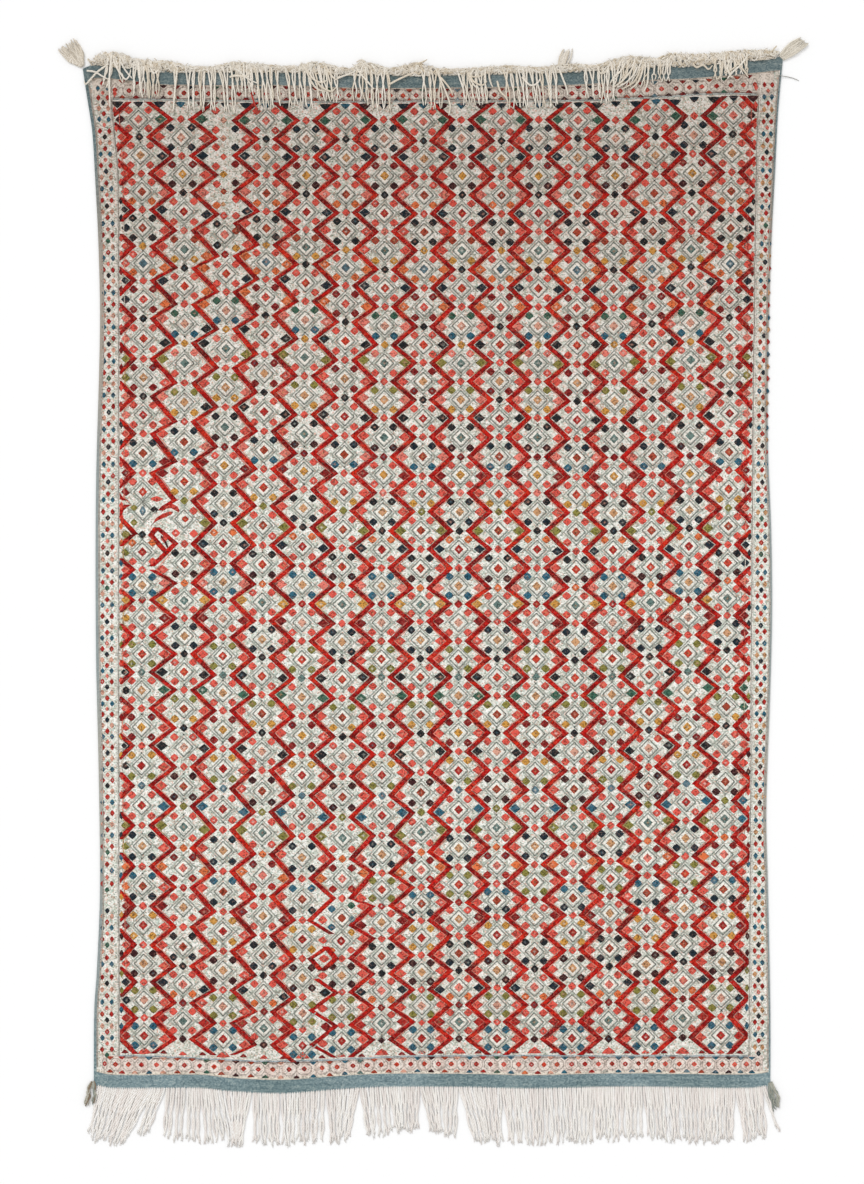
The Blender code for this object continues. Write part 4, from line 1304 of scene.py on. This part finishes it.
for root, tip, row in zip(spaced([row[0] for row in rows]), spaced([row[1] for row in rows]), rows):
    edge = edge_y(root, 1.0)
    ridge = max(along(RIDGE, root), edge + 13)
    for side in (-1, 1):
        reach = row[2]
        stray = dice.uniform(-2.5, 2.5)
        lift = dice.uniform(-1.2, 0.6)
        shade = tinted_yarn(dice.choice(HEAD_WOOLS), dice.uniform(0.93, 1.04))
        if reach < 0:
            away = (root - 304) * 0.4 + stray * 1.2
            points = [
                Vector((293 + away * 0.8, edge - 2.5, 1.8)), Vector((294 + away, edge + 12, 3.0)),
                Vector((300 + away * 1.5, edge - reach * 0.65, 4.0 + lift)),
                Vector((306 + away * 1.2, edge - reach + dice.uniform(-9, 3), 2.4)),
            ]
            yarns.append((points, HEAD_RADIUS, 1.0, shade))
            continue
        lean = dice.uniform(-9, 9)
        points = [
            Vector((root + side * 1.8, edge - 2.5, 1.8)),
            Vector((root + side * 1.8 + lean * 0.4, edge + 4, 2.4)),
            Vector((root + side * 2.0 + lean, ridge - dice.uniform(4, 9), 4.5)),
            Vector((root + side * 2.0 + lean * 0.6, edge + (ridge - edge) * 0.4, RIDGE_TOP - 3 + lift)),
        ]
        if reach > 20:
            points += [
                Vector((root + (tip - root) * 0.3 + side * 1.9 + stray, edge - 16, 6.2 + lift * 0.4)),
                Vector((root + (tip - root) * 0.7 - side * 1.6 + stray * 1.4, edge - reach * 0.62, 5.8)),
            ]
        else:
            points.append(Vector((root + side * 1.8 + stray, edge + 6, 7.6)))
            reach = dice.uniform(-6, 3)
        end_y = edge - reach + (dice.uniform(-7, 6) if row[2] > 20 else 0)
        end_x = tip + side * 2.2 + stray * 2.0
        points.append(Vector((end_x, end_y, 5.0 + rise(end_x, end_y) / MM)))
        yarns.append((points, HEAD_RADIUS, 1.3, shade))
for path in STRAY_STRANDS:
    points = []
    for index, (x, y) in enumerate(path):
        level = 9.5 - 3.0 * index / (len(path) - 1)
        points.append(Vector((x, y, level + rise(x, y) / MM)))
    shade = tinted_yarn(dice.choice(HEAD_WOOLS), dice.uniform(1.0, 1.08))
    yarns.append((points, HEAD_RADIUS, 1.4, shade))

# The ridge at the head: the same warp yarn in short loops, pulled over one another along the edge where
# the ends are knotted, with some short ends that turn back over them and the fine hairs that stand off.
def ridge_place(x, share, level):
    """A place on the ridge: share runs from the cloth's edge to the ridge's outer side."""
    low = edge_y(min(max(x, -785), 790), 1.0) + 1
    high = max(along(RIDGE, x), low + 12) - 2
    return Vector((x, low + (high - low) * share, level))


RIDGE_WOOLS = HEAD_WOOLS + ("ddd0ba", "f8f3e8")
loops = []
for rows_up, low_level, least, most, steps in (
    (0.0, 4.6, 10, 28, 150), (0.25, 6.2, 10, 28, 150), (0.5, 6.8, 10, 28, 150), (0.72, 6.2, 12, 30, 140),
    (0.92, 4.2, 14, 34, 120),
):
    for step in range(steps):
        x = -768 + 1520 * (step + dice.random()) / steps
        length = dice.uniform(least, most)
        shade = tinted_yarn(dice.choice(RIDGE_WOOLS), dice.uniform(0.9, 1.04))
        points = []
        for index in range(5):
            share = rows_up + dice.uniform(-0.34, 0.34)
            level = low_level + dice.uniform(0, 3.4)
            if index in (0, 4):
                level -= 2.5
            points.append(ridge_place(min(x + length * index / 4, 784), min(max(share, -0.15), 1.0), level))
        if dice.random() < 0.5:
            points.reverse()
        loops.append((points, HEAD_RADIUS * 0.95, 1.5, shade))
for step in range(90):
    x = -766 + 1546 * (step + dice.random()) / 90
    lean, wide = dice.uniform(-14, 14), dice.uniform(5, 12)
    shade = tinted_yarn(dice.choice(RIDGE_WOOLS), dice.uniform(0.92, 1.05))
    loops.append(([
        ridge_place(x - wide / 2, 0.1, 4.0), ridge_place(x + lean * 0.5, 0.6, 8.0),
        ridge_place(x + lean, 0.97, 6.0), ridge_place(x + wide / 2 + lean * 0.6, 0.5, 9.5),
        ridge_place(x + wide / 2, dice.uniform(-0.25, 0.2), 6.5),
    ], HEAD_RADIUS, 1.6, shade))
for step in range(130):
    x = -766 + 1540 * (step + dice.random()) / 130
    bend, out = dice.uniform(-10, 10), dice.uniform(1, 6)
    top = ridge_place(x, 1.0, 6.0)
    shade = tinted_yarn(dice.choice(RIDGE_WOOLS), 1.0)
    wisps.append(([top - Vector((0, 5, 0)), top + Vector((bend * 0.4, out * 0.4, 0)),
                   top + Vector((bend, out, -2.5))], 0.9, 0.4, shade))
wisps.append(([Vector((786, 1166, 4.5)), Vector((802, 1164, 2.0)), Vector((816, 1161, 1.2)),
               Vector((829, 1155, 1.0))], 0.9, 0.6, linear("a9a8a4")))
for path, radius, code in (
    ([(-54, 1180), (-36, 1191), (-18, 1198), (-11, 1202)], 2.0, "e8dcc6"),
    ([(764, 1218), (773, 1227), (778, 1233)], 2.0, "e8dcc6"),
    ([(-170, 1196), (-158, 1201), (-147, 1191)], 1.8, "efe6d6"),
    ([(-407, 1121), (-399, 1098), (-395, 1086), (-404, 1078)], 2.2, "c2463a"),
):
    points = [Vector((x, y, 7.5 + rise(x, y) / MM)) for x, y in path]
    loops.append((points, radius, 1.2, linear(code)))
yarn_piece("head_ridge_loops", loops, warp, 12)
yarn_piece("head_loose_hairs", wisps, warp, 8)
head_fringe = yarn_piece("head_warp_ends", yarns, warp, 26)
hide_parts("top_fringe")

# Corner tassels: each selvedge cord's loose end, of the same two-ply yarn, undone into thin strands. The
# cream ones at the head spread like a brush, the grey ones at the foot part in two.
TASSELS = {
    # node: (root, one tip, other tip, width at the root, swell, curl, yarns, colours)
    "corner_tassel_top_left": (
        (-791, 1190), (-842, 1226), (-807, 1251), 8, 8, 2.0, 34, ("efe7d9", "ddd4c5", "f5eee2")),
    "corner_tassel_top_right": (
        (791, 1208), (832, 1251), (847, 1239), 13, 5, 1.5, 26, ("ebe5d8", "d9d3c5", "f2ede2")),
    "corner_tassel_bottom_left": (
        (-767, -1108), (-783, -1161), (-763, -1156), 7, 3, 5, 14, ("b3b6ab", "9aa29b", "c4c2b6", "94836f")),
    "corner_tassel_bottom_right": (
        (765, -1110), (776, -1170), (787, -1166), 7, 3, 5, 13, ("b3b6ab", "9aa29b", "c4c2b6")),
}
for node, (root, tip, other, wide, swell, curl, count, wools) in TASSELS.items():
    root, tip, other = Vector((*root, 2.5)), Vector((*tip, 1.2)), Vector((*other, 1.2))
    sideways = (other - tip).normalized()
    yarns = []
    for index in range(count):
        t = index / (count - 1)
        if "bottom" in node:
            t = t * 0.5 if t < 0.55 else 1 - (1 - t) * 0.5
        end = tip.lerp(other, t)
        end += (end - root) * dice.uniform(-0.2, 0.05)
        end.z = dice.uniform(1.6, 4.0)
        start = root + sideways * (t - 0.5) * wide
        points = [start - (end - start) * 0.05]
        for place, swelling in ((0.2, 0.5), (0.42, 1.0), (0.64, 1.0), (0.84, 0.6), (1.0, 0.3)):
            off = (t - 0.5) * 2 * swell * swelling + dice.uniform(-curl, curl)
            points.append(start.lerp(end, place) + sideways * off + Vector((0, 0, dice.uniform(0, 1.6))))
        yarns.append((points, 2.1, 1.3, tinted_yarn(dice.choice(wools), dice.uniform(0.92, 1.05))))
    tassel = yarn_piece(node + "_cord", yarns, warp, 16)
    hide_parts(node)

# The floor is plain and nearly white. A pale sky and a broad soft light from the upper left leave the
# yarns faint shadows only.
floor_paint, tree, shader = new_material("plain pale floor", 0.9, 0.0)
shader.inputs["Base Color"].default_value = (0.96, 0.96, 0.96, 1.0)
bm = bmesh.new()
bmesh.ops.create_grid(bm, x_segments=1, y_segments=1, size=6.0)
for vert in bm.verts:
    vert.co.z = -0.0003
floor_mesh = bpy.data.meshes.new("floor")
bm.to_mesh(floor_mesh)
bm.free()
floor_mesh.materials.append(floor_paint)
floor = bpy.data.objects.new("floor", floor_mesh)
bpy.context.scene.collection.objects.link(floor)

world = bpy.data.worlds.new("pale studio")
world.use_nodes = True
world.node_tree.nodes["Background"].inputs["Color"].default_value = (1.0, 1.0, 1.0, 1.0)
world.node_tree.nodes["Background"].inputs["Strength"].default_value = 0.85
bpy.context.scene.world = world
lamp = bpy.data.lights.new("broad soft light", "SUN")
lamp.energy = 0.9
lamp.angle = math.radians(25)
light = bpy.data.objects.new("broad soft light", lamp)
light.rotation_euler = (math.radians(-38), math.radians(-30), 0)
bpy.context.scene.collection.objects.link(light)

# The camera looks straight down on the middle of the weave, the head of the rug at the picture's top
CAMERA_HEIGHT = 6.0
SEEN_HEIGHT = 2.6758
lens = bpy.data.cameras.new("straight above")
lens.sensor_fit = "VERTICAL"
lens.sensor_height = 24
lens.lens = 24 * CAMERA_HEIGHT / SEEN_HEIGHT
camera = bpy.data.objects.new("straight above", lens)
camera.location = (OFF_CENTRE.x, OFF_CENTRE.y, CAMERA_HEIGHT)
bpy.context.scene.collection.objects.link(camera)
bpy.context.scene.camera = camera
bpy.context.scene.view_settings.view_transform = "Standard"
